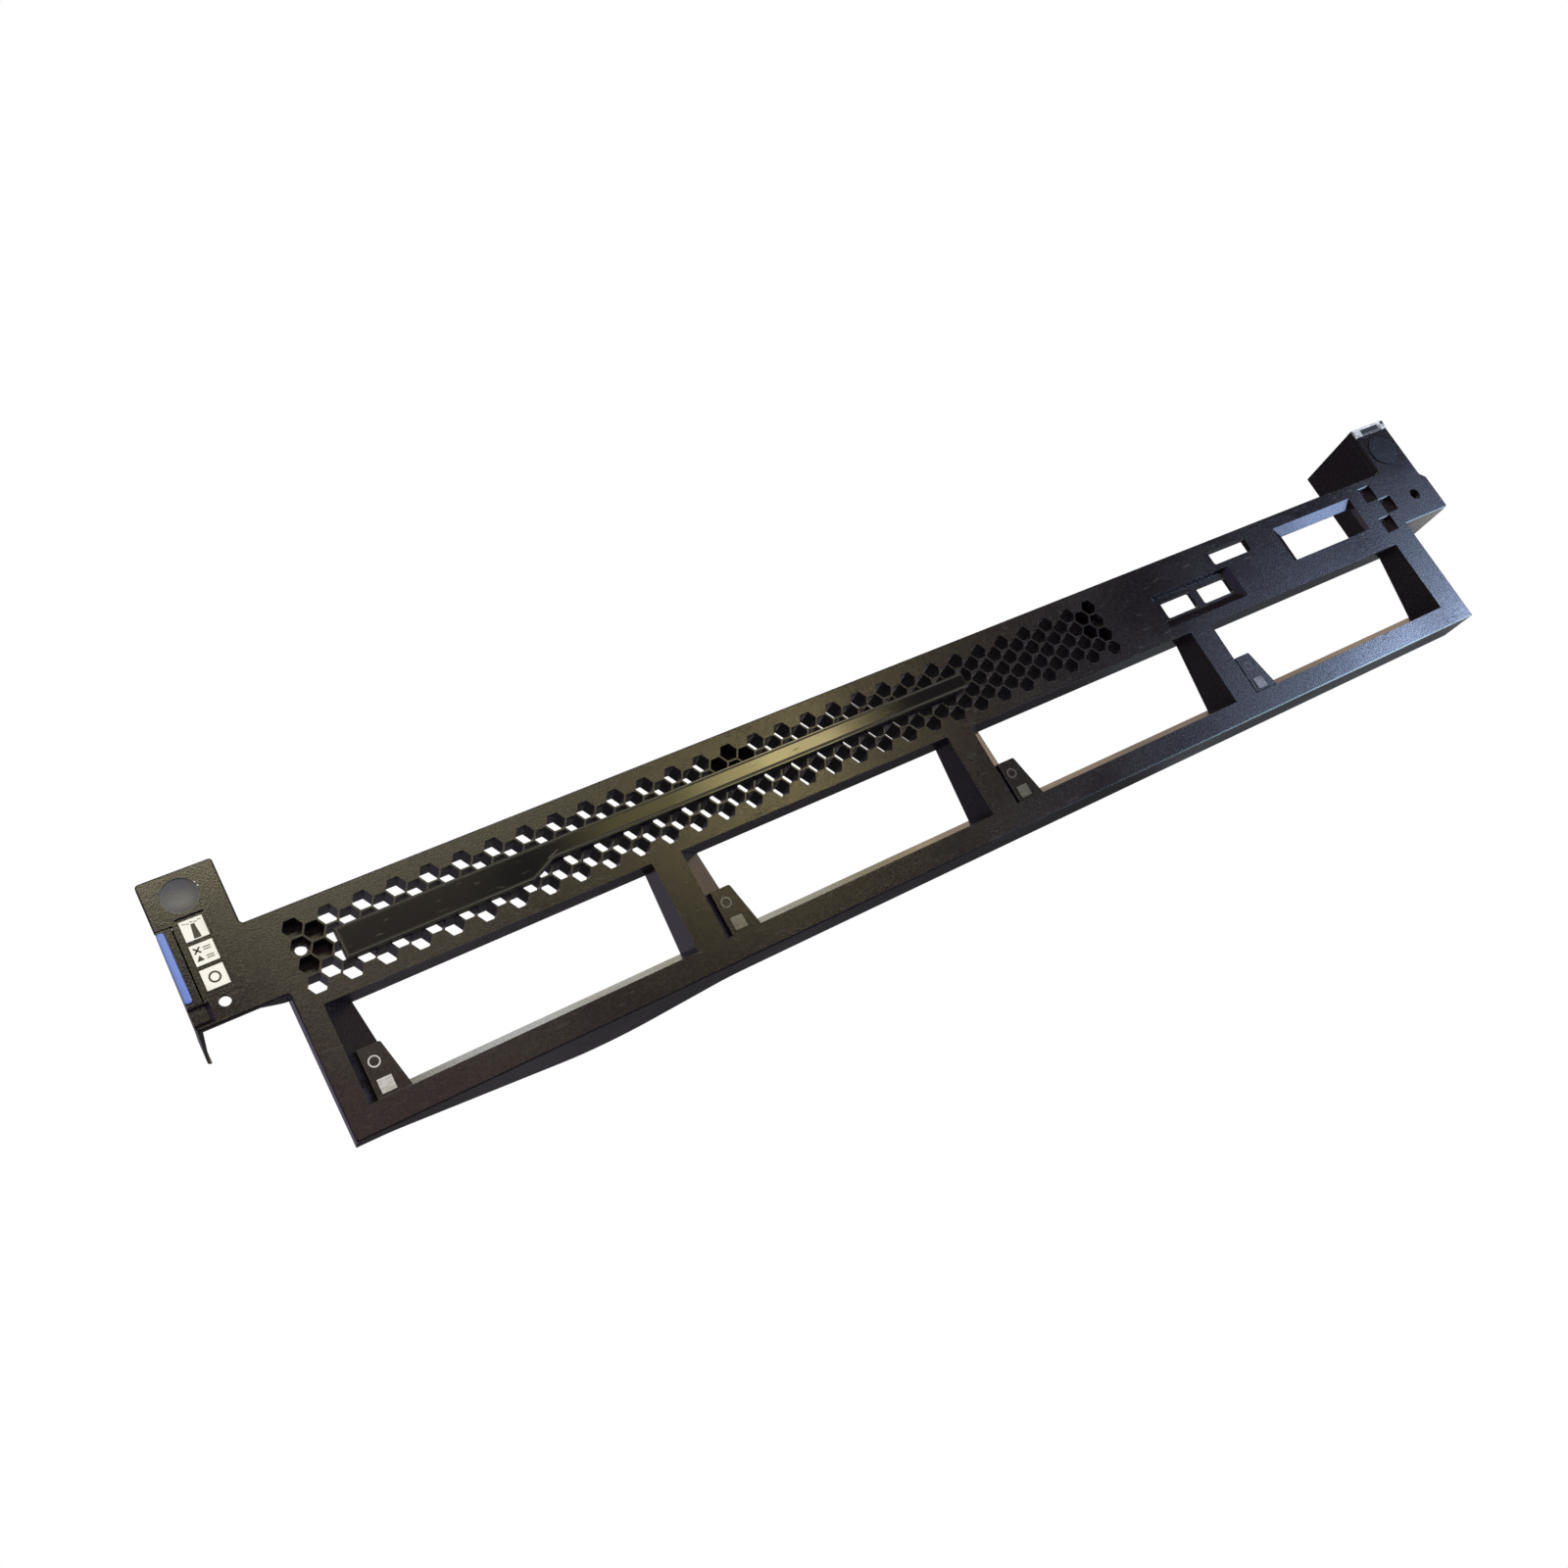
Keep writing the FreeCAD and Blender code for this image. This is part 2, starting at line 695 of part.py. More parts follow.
def make_label_tile(index):
    """One white tile on the floor of the label recess, counted from the top."""
    middle_x = (label_left + label_right) / 2
    first = label_base + label_height / 2 + tile_pitch
    z = first - index * tile_pitch
    return plate(rectangle(middle_x - tile_width / 2, middle_x + tile_width / 2,
                           z - tile_height / 2, z + tile_height / 2),
                 label_recess - tile_thickness, tile_thickness)


def make_latch_lever():
    """The latch: front pad, barrel round the pin and the long blade with its hook."""
    left = -half_panel + latch_inset
    front = at_depth(latch_inset)
    pad = plate(rectangle(left, latch_right, latch_base, latch_top, edge_break), latch_inset, latch_pad)
    barrel_length = latch_top - latch_base
    barrel = Part.makeCylinder(barrel_radius, barrel_length, V(pin_x, at_depth(pin_y), latch_base))
    web = box(left + blade_front_thickness / 2, pin_x, at_depth(pin_y) - pin_radius, at_depth(pin_y) + pin_radius,
              latch_base, latch_top)
    bore = Part.makeCylinder(pin_radius + pin_clearance, barrel_length, V(pin_x, at_depth(pin_y), latch_base))
    tip_y = front + blade_length
    inner, tip = left + blade_taper, left + blade_taper + blade_tip_thickness
    neck_y = tip_y - blade_hook_length
    sweep = slab([(left, front), (left + blade_front_thickness, front), (tip, neck_y), (tip + blade_hook, tip_y),
                  (inner + blade_hook, tip_y), (inner, neck_y)], 0, ear_top)
    behind_ear = at_depth(left_ear_wall + blade_clearance)
    side_view = side_prism([
        (front, latch_top), (front, latch_base), (behind_ear, latch_base), (behind_ear, blade_base),
        (tip_y, blade_base), (tip_y, blade_base + blade_tip_height),
        (behind_ear + barrel_length, blade_base + blade_tip_height), (behind_ear + pin_y, latch_top)],
        left, left + blade_length)
    blade = sweep.common(side_view)
    lever = pad.multiFuse([barrel, web, blade]).cut(bore)
    return lever.removeSplitter()


def make_touch_strip():
    """The coloured grip strip on the outer edge of the latch pad."""
    left = -half_panel + latch_inset
    radius = touch_strip_width / 2 - edge_break / 4
    return plate(rectangle(left, left + touch_strip_width, touch_strip_base, touch_strip_top, radius),
                 latch_inset - touch_strip_proud, touch_strip_proud)


def make_latch_pin():
    """The pin through both lugs and the lever's barrel."""
    low = latch_base - lug_gap - lug_height - pin_end
    high = latch_top + lug_gap + lug_height
    return Part.makeCylinder(pin_radius, high - low, V(pin_x, at_depth(pin_y), low))


def make_latch_spring():
    """The return spring round the pin's lower end: a close coil with a leg behind the ear."""
    ring_radius = pin_radius + spring_wire + spring_gap
    outer = ring_radius + spring_wire
    top = latch_base - lug_gap - lug_height - spring_gap
    length = spring_turns * 2 * spring_wire
    coil = Part.makeCylinder(outer, length, V(pin_x, at_depth(pin_y), top - length))
    coil = coil.cut(Part.makeCylinder(outer - 2 * spring_wire, length, V(pin_x, at_depth(pin_y), top - length)))
    leg = box(pin_x + ring_radius - spring_wire, pin_x + ring_radius + spring_wire,
              at_depth(pin_y), at_depth(pin_y) + spring_leg, top - 2 * spring_wire, top)
    return coil.fuse(leg).removeSplitter()


def make_drive_label(index):
    """The small square label on one drive tab."""
    left = window_left(index) + drive_label_left
    return plate(rectangle(left, left + drive_label_size, drive_label_base,
                           drive_label_base + drive_label_size),
                 tab_depth - drive_label_thickness, drive_label_thickness)


def badge_field():
    """Opening of the badge frame, which the dark field fills."""
    middle_x = (badge_left + badge_right) / 2
    middle_z = badge_base + badge_height / 2
    return rectangle(middle_x - badge_field_width / 2, middle_x + badge_field_width / 2,
                     middle_z - badge_field_height / 2, middle_z + badge_field_height / 2)


def make_badge_frame():
    """The bright frame of the bare badge at the top of the right ear."""
    outline = rectangle(badge_left, badge_right, badge_base, badge_base + badge_height)
    return plate(outline, -badge_thickness, badge_thickness, [badge_field()])


def make_badge_field():
    """The dark bare field inside the badge frame."""
    return plate(badge_field(), -badge_thickness / 2, badge_thickness / 2)


def make_round_badge():
    """A bare round inlay on the right ear."""
    start = V(round_badge_x, front_y - round_badge_thickness, round_badge_z)
    return Part.makeCylinder(round_badge_radius, round_badge_thickness, start, V(0, 1, 0))


def write(name, shape):
    """Write one piece as its own file."""
    shape.exportStep("parts/" + name + ".step")


def main():
    """Make and write every piece."""
    os.makedirs("parts", exist_ok=True)
    write("bezel_frame", make_frame())
    write("right_ear_housing", make_right_ear_housing())
    write("name_bar", make_name_bar())
    write("left_ear_disc", make_ear_disc())
    for index, place in enumerate(("top", "middle", "bottom")):
        write("label_tile_" + place, make_label_tile(index))
    write("latch_lever", make_latch_lever())
    write("latch_touch_strip", make_touch_strip())
    write("latch_pin", make_latch_pin())
    write("latch_spring", make_latch_spring())
    for index in range(window_count):
        write("drive_label_%d" % (index + 1), make_drive_label(index))
    write("ear_badge_frame", make_badge_frame())
    write("ear_badge_field", make_badge_field())
    write("round_badge", make_round_badge())


main()
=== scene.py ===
"""Looks of a rack server's front bezel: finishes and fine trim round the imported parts."""

import logging
import math
from dataclasses import dataclass
from enum import Enum
from typing import Callable, Dict, Optional, Sequence, Tuple, Union

import bmesh
import bpy
from mathutils import Matrix, Vector


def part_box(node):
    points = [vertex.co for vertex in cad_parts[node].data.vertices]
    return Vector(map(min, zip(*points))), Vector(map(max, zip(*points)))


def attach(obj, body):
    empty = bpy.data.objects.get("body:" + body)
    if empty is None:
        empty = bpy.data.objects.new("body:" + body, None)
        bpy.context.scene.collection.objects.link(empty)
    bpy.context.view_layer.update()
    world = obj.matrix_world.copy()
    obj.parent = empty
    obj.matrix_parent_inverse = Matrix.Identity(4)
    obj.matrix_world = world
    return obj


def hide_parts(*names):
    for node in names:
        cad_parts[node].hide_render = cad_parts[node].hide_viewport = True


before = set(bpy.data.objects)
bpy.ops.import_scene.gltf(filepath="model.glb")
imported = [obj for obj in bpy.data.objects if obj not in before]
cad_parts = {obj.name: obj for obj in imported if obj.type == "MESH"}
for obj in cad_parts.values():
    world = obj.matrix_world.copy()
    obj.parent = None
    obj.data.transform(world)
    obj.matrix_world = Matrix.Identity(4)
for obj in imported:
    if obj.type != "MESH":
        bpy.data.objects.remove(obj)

LOG = logging.getLogger("bezel")
MM = 0.001
FRONT_PLANE = -10.0 * MM
Colour = Tuple[float, float, float]
Socket = bpy.types.NodeSocket
Element = Union[bmesh.types.BMEdge, bmesh.types.BMFace]


class Body(Enum):
    """The bodies that a piece can ride on."""

    FRAME = "frame"
    LATCH = "latch"


class Slot(Enum):
    """The record's material slots; each mark keeps one, and nothing uses it."""

    DISC = "disc_plastic"
    LABEL = "label_white"
    TOUCH = "touch_blue"
    STEEL = "pin_steel"
    SILVER = "label_silver"
    BADGE = "badge_silver"
    FRAME = "frame_plastic"


class Graph:
    """A small helper that adds nodes and links to one node tree."""

    def __init__(self, tree: bpy.types.NodeTree) -> None:
        """Start on a node tree."""
        self.tree = tree

    def node(self, kind: str, **settings: object) -> bpy.types.Node:
        """Add a node and set its plain properties.

        Args:
            kind: the node's type name.
            settings: property names and values.

        Returns:
            The new node.
        """
        made = self.tree.nodes.new(kind)
        for name, value in settings.items():
            setattr(made, name, value)
        return made

    def feed(self, node: bpy.types.Node, values: Dict[object, object]) -> bpy.types.Node:
        """Link sockets to a node's inputs, or set the inputs' own values.

        Args:
            node: the node that is fed.
            values: a socket, number, vector or colour for each input's name or index.

        Returns:
            The same node.
        """
        for name, value in values.items():
            target = node.inputs[name]
            if isinstance(value, Socket):
                self.tree.links.new(value, target)
            else:
                target.default_value = value
        return node

    def place(self) -> Socket:
        """Give the object's own coordinates."""
        return self.node("ShaderNodeTexCoord").outputs["Object"]

    def math(self, operation: str, *values: object, clamp: bool = False) -> Socket:
        """Add a Math node.

        Args:
            operation: the node's operation.
            values: its inputs, in order.
            clamp: whether the result is held between 0 and 1.

        Returns:
            The result's socket.
        """
        made = self.node("ShaderNodeMath", operation=operation, use_clamp=clamp)
        return self.feed(made, dict(enumerate(values))).outputs[0]

    def mix(self, factor: object, low: object, high: object) -> Socket:
        """Mix two colours.

        Args:
            factor: the share of the second colour.
            low: the first colour, or its socket.
            high: the second colour, or its socket.

        Returns:
            The mixed colour's socket.
        """
        made = self.node("ShaderNodeMix", data_type="RGBA")
        first, second = (tone if isinstance(tone, Socket) else opaque(tone) for tone in (low, high))
        return self.feed(made, {0: factor, 6: first, 7: second}).outputs[2]

    def ramp(self, value: Socket, low: float, high: float, start: float = 0.0, end: float = 1.0,
             kind: str = "SMOOTHSTEP") -> Socket:
        """Map a value from one range to another, clamped.

        Args:
            value: the value's socket.
            low: the value that gives start.
            high: the value that gives end.
            start: the result at low.
            end: the result at high.
            kind: the interpolation.

        Returns:
            The result's socket.
        """
        made = self.node("ShaderNodeMapRange", interpolation_type=kind)
        return self.feed(made, dict(enumerate((value, low, high, start, end)))).outputs[0]

    def noise(self, scale: object, detail: float, roughness: float = 0.5,
              place: Optional[Socket] = None) -> Socket:
        """Add a noise texture.

        Args:
            scale: the number of cells per metre, or its socket.
            detail: the number of finer layers.
            roughness: the strength of the finer layers.
            place: the coordinates, the object's own if left out.

        Returns:
            The noise's socket.
        """
        where = self.place() if place is None else place
        values = {"Vector": where, "Scale": scale, "Detail": detail, "Roughness": roughness}
        return self.feed(self.node("ShaderNodeTexNoise"), values).outputs["Fac"]

    def bump(self, height: Socket, strength: float, distance: float) -> Socket:
        """Add a Bump node.

        Args:
            height: the height's socket.
            strength: the bump's share.
            distance: the height of a full step, in metres.

        Returns:
            The bent normal's socket.
        """
        values = {"Strength": strength, "Distance": distance, "Height": height}
        return self.feed(self.node("ShaderNodeBump"), values).outputs[0]

    def group(self, tree: bpy.types.NodeTree, **values: float) -> bpy.types.bpy_prop_collection:
        """Place a shared group.

        Args:
            tree: the node group.
            values: its input values by name.

        Returns:
            The group's outputs.
        """
        return self.feed(self.node("ShaderNodeGroup", node_tree=tree), values).outputs


def opaque(colour: Colour) -> Tuple[float, float, float, float]:
    """Give a colour its alpha."""
    return (*colour, 1.0)


def scaled(colour: Colour, share: float) -> Colour:
    """Darken a colour."""
    return tuple(share * channel for channel in colour)


def new_group(name: str, inputs: Sequence[str], outputs: Sequence[str]
              ) -> Tuple[Graph, bpy.types.bpy_prop_collection, bpy.types.Node]:
    """Start a shader node group with number sockets.

    Args:
        name: the group's name.
        inputs: names of its inputs.
        outputs: names of its outputs.

    Returns:
        The graph, the inputs' sockets and the node that takes the outputs.
    """
    tree = bpy.data.node_groups.new(name, "ShaderNodeTree")
    for direction, labels in (("INPUT", inputs), ("OUTPUT", outputs)):
        for label in labels:
            tree.interface.new_socket(label, in_out=direction, socket_type="NodeSocketFloat")
    graph = Graph(tree)
    return graph, graph.node("NodeGroupInput").outputs, graph.node("NodeGroupOutput")


class SharedGroups:
    """The node groups that several finishes share."""

    def __init__(self) -> None:
        """Build every group once."""
        self.grain = self.build_grain()
        self.handling = self.build_handling()
        self.wear_and_highlight = self.build_wear_and_highlight()
        self.print_rows = self.build_print_rows()

    def build_grain(self, coarse: float = 0.35) -> bpy.types.NodeTree:
        """Build the spark-eroded grain of a mould: pits of two sizes.

        Args:
            coarse: the depth of the wide pits, against the fine ones.

        Returns:
            The group, with a height and a fleck mask.
        """
        graph, given, out = new_group("mould_grain", ["Cells"], ["Height", "Fleck"])
        cells = given["Cells"]
        fine = graph.noise(cells, detail=2.0, roughness=0.6)
        pits = graph.node("ShaderNodeTexVoronoi", feature="F1")
        graph.feed(pits, {"Vector": graph.place(), "Scale": graph.math("MULTIPLY", cells, 0.7)})
        deep = graph.math("MULTIPLY", pits.outputs["Distance"], coarse)
        speckle = graph.noise(graph.math("MULTIPLY", cells, 0.55), detail=3.0, roughness=0.7)
        graph.feed(out, {"Height": graph.math("ADD", fine, deep),
                         "Fleck": graph.ramp(speckle, 0.4, 0.64)})
        return graph.tree

    def build_handling(self, streak_turn: float = 24.0, streak_share: float = 60.0
                       ) -> bpy.types.NodeTree:
        """Build the slow unevenness that handling and moulding leave.

        Args:
            streak_turn: the turn of the streaks, in degrees.
            streak_share: how much finer the streaks are than the patches.

        Returns:
            The group, with a cloud mask and a streak mask.
        """
        graph, given, out = new_group("handling", ["Patches"], ["Cloud", "Streak"])
        cloud = graph.noise(given["Patches"], detail=5.0)
        stretch = graph.node("ShaderNodeMapping")
        graph.feed(stretch, {"Vector": graph.place(), "Scale": (0.22, 1.0, 1.0),
                             "Rotation": (0.0, math.radians(streak_turn), 0.0)})
        lines = graph.noise(graph.math("MULTIPLY", given["Patches"], streak_share), detail=3.0,
                            place=stretch.outputs[0])
        graph.feed(out, {"Cloud": graph.ramp(cloud, 0.35, 0.68),
                         "Streak": graph.ramp(lines, 0.62, 0.72)})
        return graph.tree

    def build_wear_and_highlight(self, patches: float = 420.0) -> bpy.types.NodeTree:
        """Build the mask of outer edges that are lighter, partly from rubbing and partly as a
        painted edge highlight.

        Args:
            patches: the number of patchy spots per metre along the lighter edges.

        Returns:
            The group, with the mask of rubbing and painted edge highlight.
        """
        graph, given, out = new_group("edge_wear_and_highlight", ["Width", "Amount"], ["Wear_and_highlight"])
        bevel = graph.feed(graph.node("ShaderNodeBevel", samples=6), {"Radius": given["Width"]})
        turn = graph.node("ShaderNodeVectorMath", operation="DOT_PRODUCT")
        flat = graph.node("ShaderNodeNewGeometry").outputs["Normal"]
        graph.feed(turn, {0: bevel.outputs[0], 1: flat})
        bend = graph.math("SUBTRACT", 1.0, turn.outputs["Value"])
        patchy = graph.ramp(graph.noise(patches, detail=4.0), 0.35, 0.65, 0.25, 1.0)
        mask = graph.math("MULTIPLY", graph.ramp(bend, 0.02, 0.22), patchy)
        graph.feed(out, {"Wear_and_highlight": graph.math("MULTIPLY", mask, given["Amount"], clamp=True)})
        return graph.tree

    def build_print_rows(self, rows: float = 1500.0, dashes: float = 900.0, blank: float = 0.42
                         ) -> bpy.types.NodeTree:
        """Build rows of short dashes, as small print looks from a step away.

        Args:
            rows: the number of rows per metre.
            dashes: the number of dashes per metre.
            blank: the share of dashes left out.

        Returns:
            The group, with an ink mask.
        """
        graph, _, out = new_group("print_rows", [], ["Ink"])
        axes = graph.feed(graph.node("ShaderNodeSeparateXYZ"), {0: graph.place()}).outputs
        row_phase = graph.math("MULTIPLY", axes["Z"], rows)
        row = graph.math("LESS_THAN", graph.math("FRACT", row_phase), 0.5)
        column = graph.math("FLOOR", graph.math("MULTIPLY", axes["X"], dashes))
        cell = graph.feed(graph.node("ShaderNodeCombineXYZ"),
                          {"X": column, "Y": graph.math("FLOOR", row_phase)})
        dash = graph.node("ShaderNodeTexWhiteNoise", noise_dimensions="2D")
        graph.feed(dash, {"Vector": cell.outputs[0]})
        inked = graph.math("GREATER_THAN", dash.outputs["Value"], blank)
        graph.feed(out, {"Ink": graph.math("MULTIPLY", row, inked)})
        return graph.tree


def start_material(name: str) -> Tuple[bpy.types.Material, Graph, bpy.types.Node]:
    """Start a node material with one Principled shader.

    Args:
        name: the material's name.

    Returns:
        The material, its graph and the shader node.
    """
    material = bpy.data.materials.new(name)
    graph = start_tree(material)
    shader = graph.node("ShaderNodeBsdfPrincipled")
    graph.feed(graph.node("ShaderNodeOutputMaterial"), {"Surface": shader.outputs[0]})
    return material, graph, shader


def start_tree(owner: bpy.types.ID) -> Graph:
    """Empty the node tree of a material or a world.

    Args:
        owner: the material or world.

    Returns:
        The tree's graph.
    """
    owner.use_nodes = True
    owner.node_tree.nodes.clear()
    return Graph(owner.node_tree)


@dataclass(frozen=True)
class PlasticFinish:
    """A moulded plastic with grain, slow unevenness, and edges made lighter by rubbing and by a
    painted highlight.
    """

    PATCHES_PER_M = 14.0
    CLOUD_SHARE = 0.3
    FLECK_SHARE = 0.7
    SCUFF_SHARE = 0.12
    SMOOTHER, ROUGHER = 0.04, 0.05
    WORN_DULLING = 0.7
    BUMP_STRENGTH = 0.5

    name: str
    base: Colour
    mottle: Colour
    wear_and_highlight_tone: Colour
    roughness: float
    grain_per_m: float
    grain_depth: float
    wear_and_highlight: float
    wear_and_highlight_width: float = 0.2 * MM
    fleck_dulling: float = 0.0

    def build(self, groups: SharedGroups) -> bpy.types.Material:
        """Build the material.

        Args:
            groups: the shared node groups.

        Returns:
            The new material.
        """
        material, graph, shader = start_material(self.name)
        grain = graph.group(groups.grain, Cells=self.grain_per_m)
        handling = graph.group(groups.handling, Patches=self.PATCHES_PER_M)
        wear_and_highlight = graph.group(groups.wear_and_highlight, Width=self.wear_and_highlight_width, Amount=self.wear_and_highlight)["Wear_and_highlight"]
        cloud = graph.math("MULTIPLY", handling["Cloud"], self.CLOUD_SHARE)
        fleck = graph.math("MULTIPLY", grain["Fleck"], self.FLECK_SHARE)
        tone = graph.mix(graph.math("ADD", cloud, fleck, clamp=True), self.base, self.mottle)
        scuff = graph.math("MULTIPLY", handling["Streak"], self.SCUFF_SHARE)
        # Lighter edges and streaks: partly real rubbing and scuffs, partly a painted highlight
        # along the edges.
        rubbed_and_lit = graph.math("MAXIMUM", wear_and_highlight, scuff)
        rough = graph.ramp(handling["Cloud"], 0.0, 1.0,
                           self.roughness - self.SMOOTHER, self.roughness + self.ROUGHER)
        dulled = graph.math("MULTIPLY_ADD", grain["Fleck"], self.fleck_dulling, rough)
        dull_edge = graph.math("MULTIPLY", rubbed_and_lit, self.WORN_DULLING)
        graph.feed(shader, {
            "Base Color": graph.mix(rubbed_and_lit, tone, self.wear_and_highlight_tone),
            "Roughness": graph.math("ADD", dulled, dull_edge),
            "Normal": graph.bump(grain["Height"], self.BUMP_STRENGTH, self.grain_depth)})
        return material


@dataclass(frozen=True)
class BarFinish:
    """The name bar's plastic: a painted highlight line and a duller groove band inside its outline,
    a painted highlight along a crease, and a scratched mark.
    """

    plastic: PlasticFinish
    low: Vector
    high: Vector
    strip_height: float = 5.5 * MM
    step: Tuple[float, float] = (54.0 * MM, 61.6 * MM)
    # A lighter colour for a painted highlight line along the bevelled edge; the crease highlight
    # and the scratched mark take it too.
    line: Colour = (0.06, 0.057, 0.045)
    line_from: float = 0.35 * MM
    line_width: float = 0.24 * MM
    line_dulling: float = 0.25
    groove_width: float = 0.42 * MM
    groove_dulling: float = 0.5
    soft: float = 0.06 * MM
    # The first line is a painted highlight along the crease where the plate narrows into the strip;
    # the second is a scratched mark.
    crease_highlight_and_scratch: Tuple[Tuple[float, float, float, float], ...] = (
        (60.0, -5.0, 63.6, -3.6), (67.6, -11.1, 68.6, -10.4))
    thin_line_width: float = 0.24 * MM

    @property
    def name(self) -> str:
        """Give the plastic's name."""
        return self.plastic.name

    def build(self, groups: SharedGroups) -> bpy.types.Material:
        """Build the plastic, then add the painted highlight line, the duller groove band, the
        crease highlight and the scratched mark.

        Args:
            groups: the shared node groups.

        Returns:
            The new material.
        """
        material = self.plastic.build(groups)
        graph = Graph(material.node_tree)
        shader = next(n for n in graph.tree.nodes if n.bl_idname == "ShaderNodeBsdfPrincipled")
        axes = graph.feed(graph.node("ShaderNodeSeparateXYZ"), {0: graph.place()}).outputs
        inside = self.depth_inside(graph, axes["X"], axes["Z"])
        line_end = self.line_from + self.line_width
        # A painted highlight line just inside the outline; the groove band beside it is only
        # duller.
        line = self.band(graph, inside, self.line_from, line_end)
        groove = self.band(graph, inside, line_end, line_end + self.groove_width)
        for ends in self.crease_highlight_and_scratch:
            line = graph.math("MAXIMUM", line, self.thin_line_mask(graph, axes["X"], axes["Z"], ends))
        tone, rough = (shader.inputs[name].links[0].from_socket
                       for name in ("Base Color", "Roughness"))
        dulled = graph.math("MULTIPLY_ADD", groove, self.groove_dulling, rough)
        graph.feed(shader, {
            "Base Color": graph.mix(line, tone, self.line),
            "Roughness": graph.math("MULTIPLY_ADD", line, self.line_dulling, dulled)})
        return material

    def depth_inside(self, graph: Graph, x: Socket, z: Socket) -> Socket:
        """Measure how far a point of the front lies inside the bar's outline.

        Args:
            graph: the material's graph.
            x: the point's x.
            z: the point's z.

        Returns:
            The distance to the nearest edge, in metres.
        """
        start, end = (self.low.x + place for place in self.step)
        foot = graph.ramp(x, start, end, self.low.z, self.high.z - self.strip_height, kind="LINEAR")
        below = graph.math("SUBTRACT", self.high.z, z)
        above = graph.math("SUBTRACT", z, foot)
        beside = graph.math("SUBTRACT", x, self.low.x)
        return graph.math("MINIMUM", graph.math("MINIMUM", below, above), beside)

    def band(self, graph: Graph, value: Socket, low: float, high: float) -> Socket:
        """Mask the places where a value lies between two limits.

        Args:
            graph: the material's graph.
            value: the value's socket.
            low: the lower limit.
            high: the upper limit.

        Returns:
            The mask.
        """
        rise = graph.ramp(value, low - self.soft, low + self.soft)
        fall = graph.ramp(value, high - self.soft, high + self.soft, 1.0, 0.0)
        return graph.math("MULTIPLY", rise, fall)

    def thin_line_mask(self, graph: Graph, x: Socket, z: Socket,
                ends: Tuple[float, float, float, float]) -> Socket:
        """Mask a thin straight line, as drawn for the crease highlight and the scratched mark.

        Args:
            graph: the material's graph.
            x: the point's x.
            z: the point's z.
            ends: x and z of both ends, in millimetres from the bar's top left corner.

        Returns:
            The mask.
        """
        run, rise = (ends[2] - ends[0]) * MM, (ends[3] - ends[1]) * MM
        length = math.hypot(run, rise)
        right = graph.math("SUBTRACT", x, self.low.x + ends[0] * MM)
        up = graph.math("SUBTRACT", z, self.high.z + ends[1] * MM)
        along, across = (
            graph.math("MULTIPLY_ADD", main, run / length, graph.math("MULTIPLY", other, share))
            for main, other, share in ((right, up, rise / length), (up, right, -rise / length)))
        half = self.thin_line_width / 2
        narrow = self.band(graph, across, -half, half)
        return graph.math("MULTIPLY", narrow, self.band(graph, along, 0.0, length))


@dataclass(frozen=True)
class FilmFinish:
    """A thin printed film: white tile, silver label or dark badge field."""

    ROUGHER = 0.12
    CREASES_PER_M = 900.0
    CREASE_DEPTH = 0.2 * MM
    CREASE_STRENGTH = 0.15

    name: str
    base: Colour
    shade: Colour
    roughness: float
    metallic: float = 0.0
    ink: Colour = (0.03, 0.03, 0.032)
    ink_share: float = 0.0
    crinkle: float = 0.0
    patches_per_m: float = 160.0

    def build(self, groups: SharedGroups) -> bpy.types.Material:
        """Build the material.

        Args:
            groups: the shared node groups.

        Returns:
            The new material.
        """
        material, graph, shader = start_material(self.name)
        cloud = graph.group(groups.handling, Patches=self.patches_per_m)["Cloud"]
        tone = graph.mix(cloud, self.base, self.shade)
        if self.ink_share > 0:
            rows = graph.group(groups.print_rows)
            tone = graph.mix(graph.math("MULTIPLY", rows["Ink"], self.ink_share), tone, self.ink)
        creases = graph.noise(self.CREASES_PER_M, detail=2.0)
        graph.feed(shader, {
            "Base Color": tone,
            "Metallic": self.metallic,
            "Roughness": graph.ramp(cloud, 0.0, 1.0, self.roughness, self.roughness + self.ROUGHER),
            "Normal": graph.bump(creases, self.CREASE_STRENGTH + self.crinkle, self.CREASE_DEPTH)})
        return material


@dataclass(frozen=True)
class SteelFinish:
    """Drawn steel wire, with patches and streaks that are darker and duller."""

    name: str
    base: Colour
    roughness: float
    dull_share: float = 0.6
    dull_roughness: float = 0.5
    patches_per_m: float = 240.0

    def build(self, groups: SharedGroups) -> bpy.types.Material:
        """Build the material.

        Args:
            groups: the shared node groups.

        Returns:
            The new material.
        """
        material, graph, shader = start_material(self.name)
        handling = graph.group(groups.handling, Patches=self.patches_per_m)
        dull = scaled(self.base, self.dull_share)
        graph.feed(shader, {
            "Base Color": graph.mix(handling["Cloud"], self.base, dull),
            "Metallic": 1.0,
            "Roughness": graph.ramp(handling["Streak"], 0.0, 1.0, self.roughness,
                                    self.dull_roughness)})
        return material


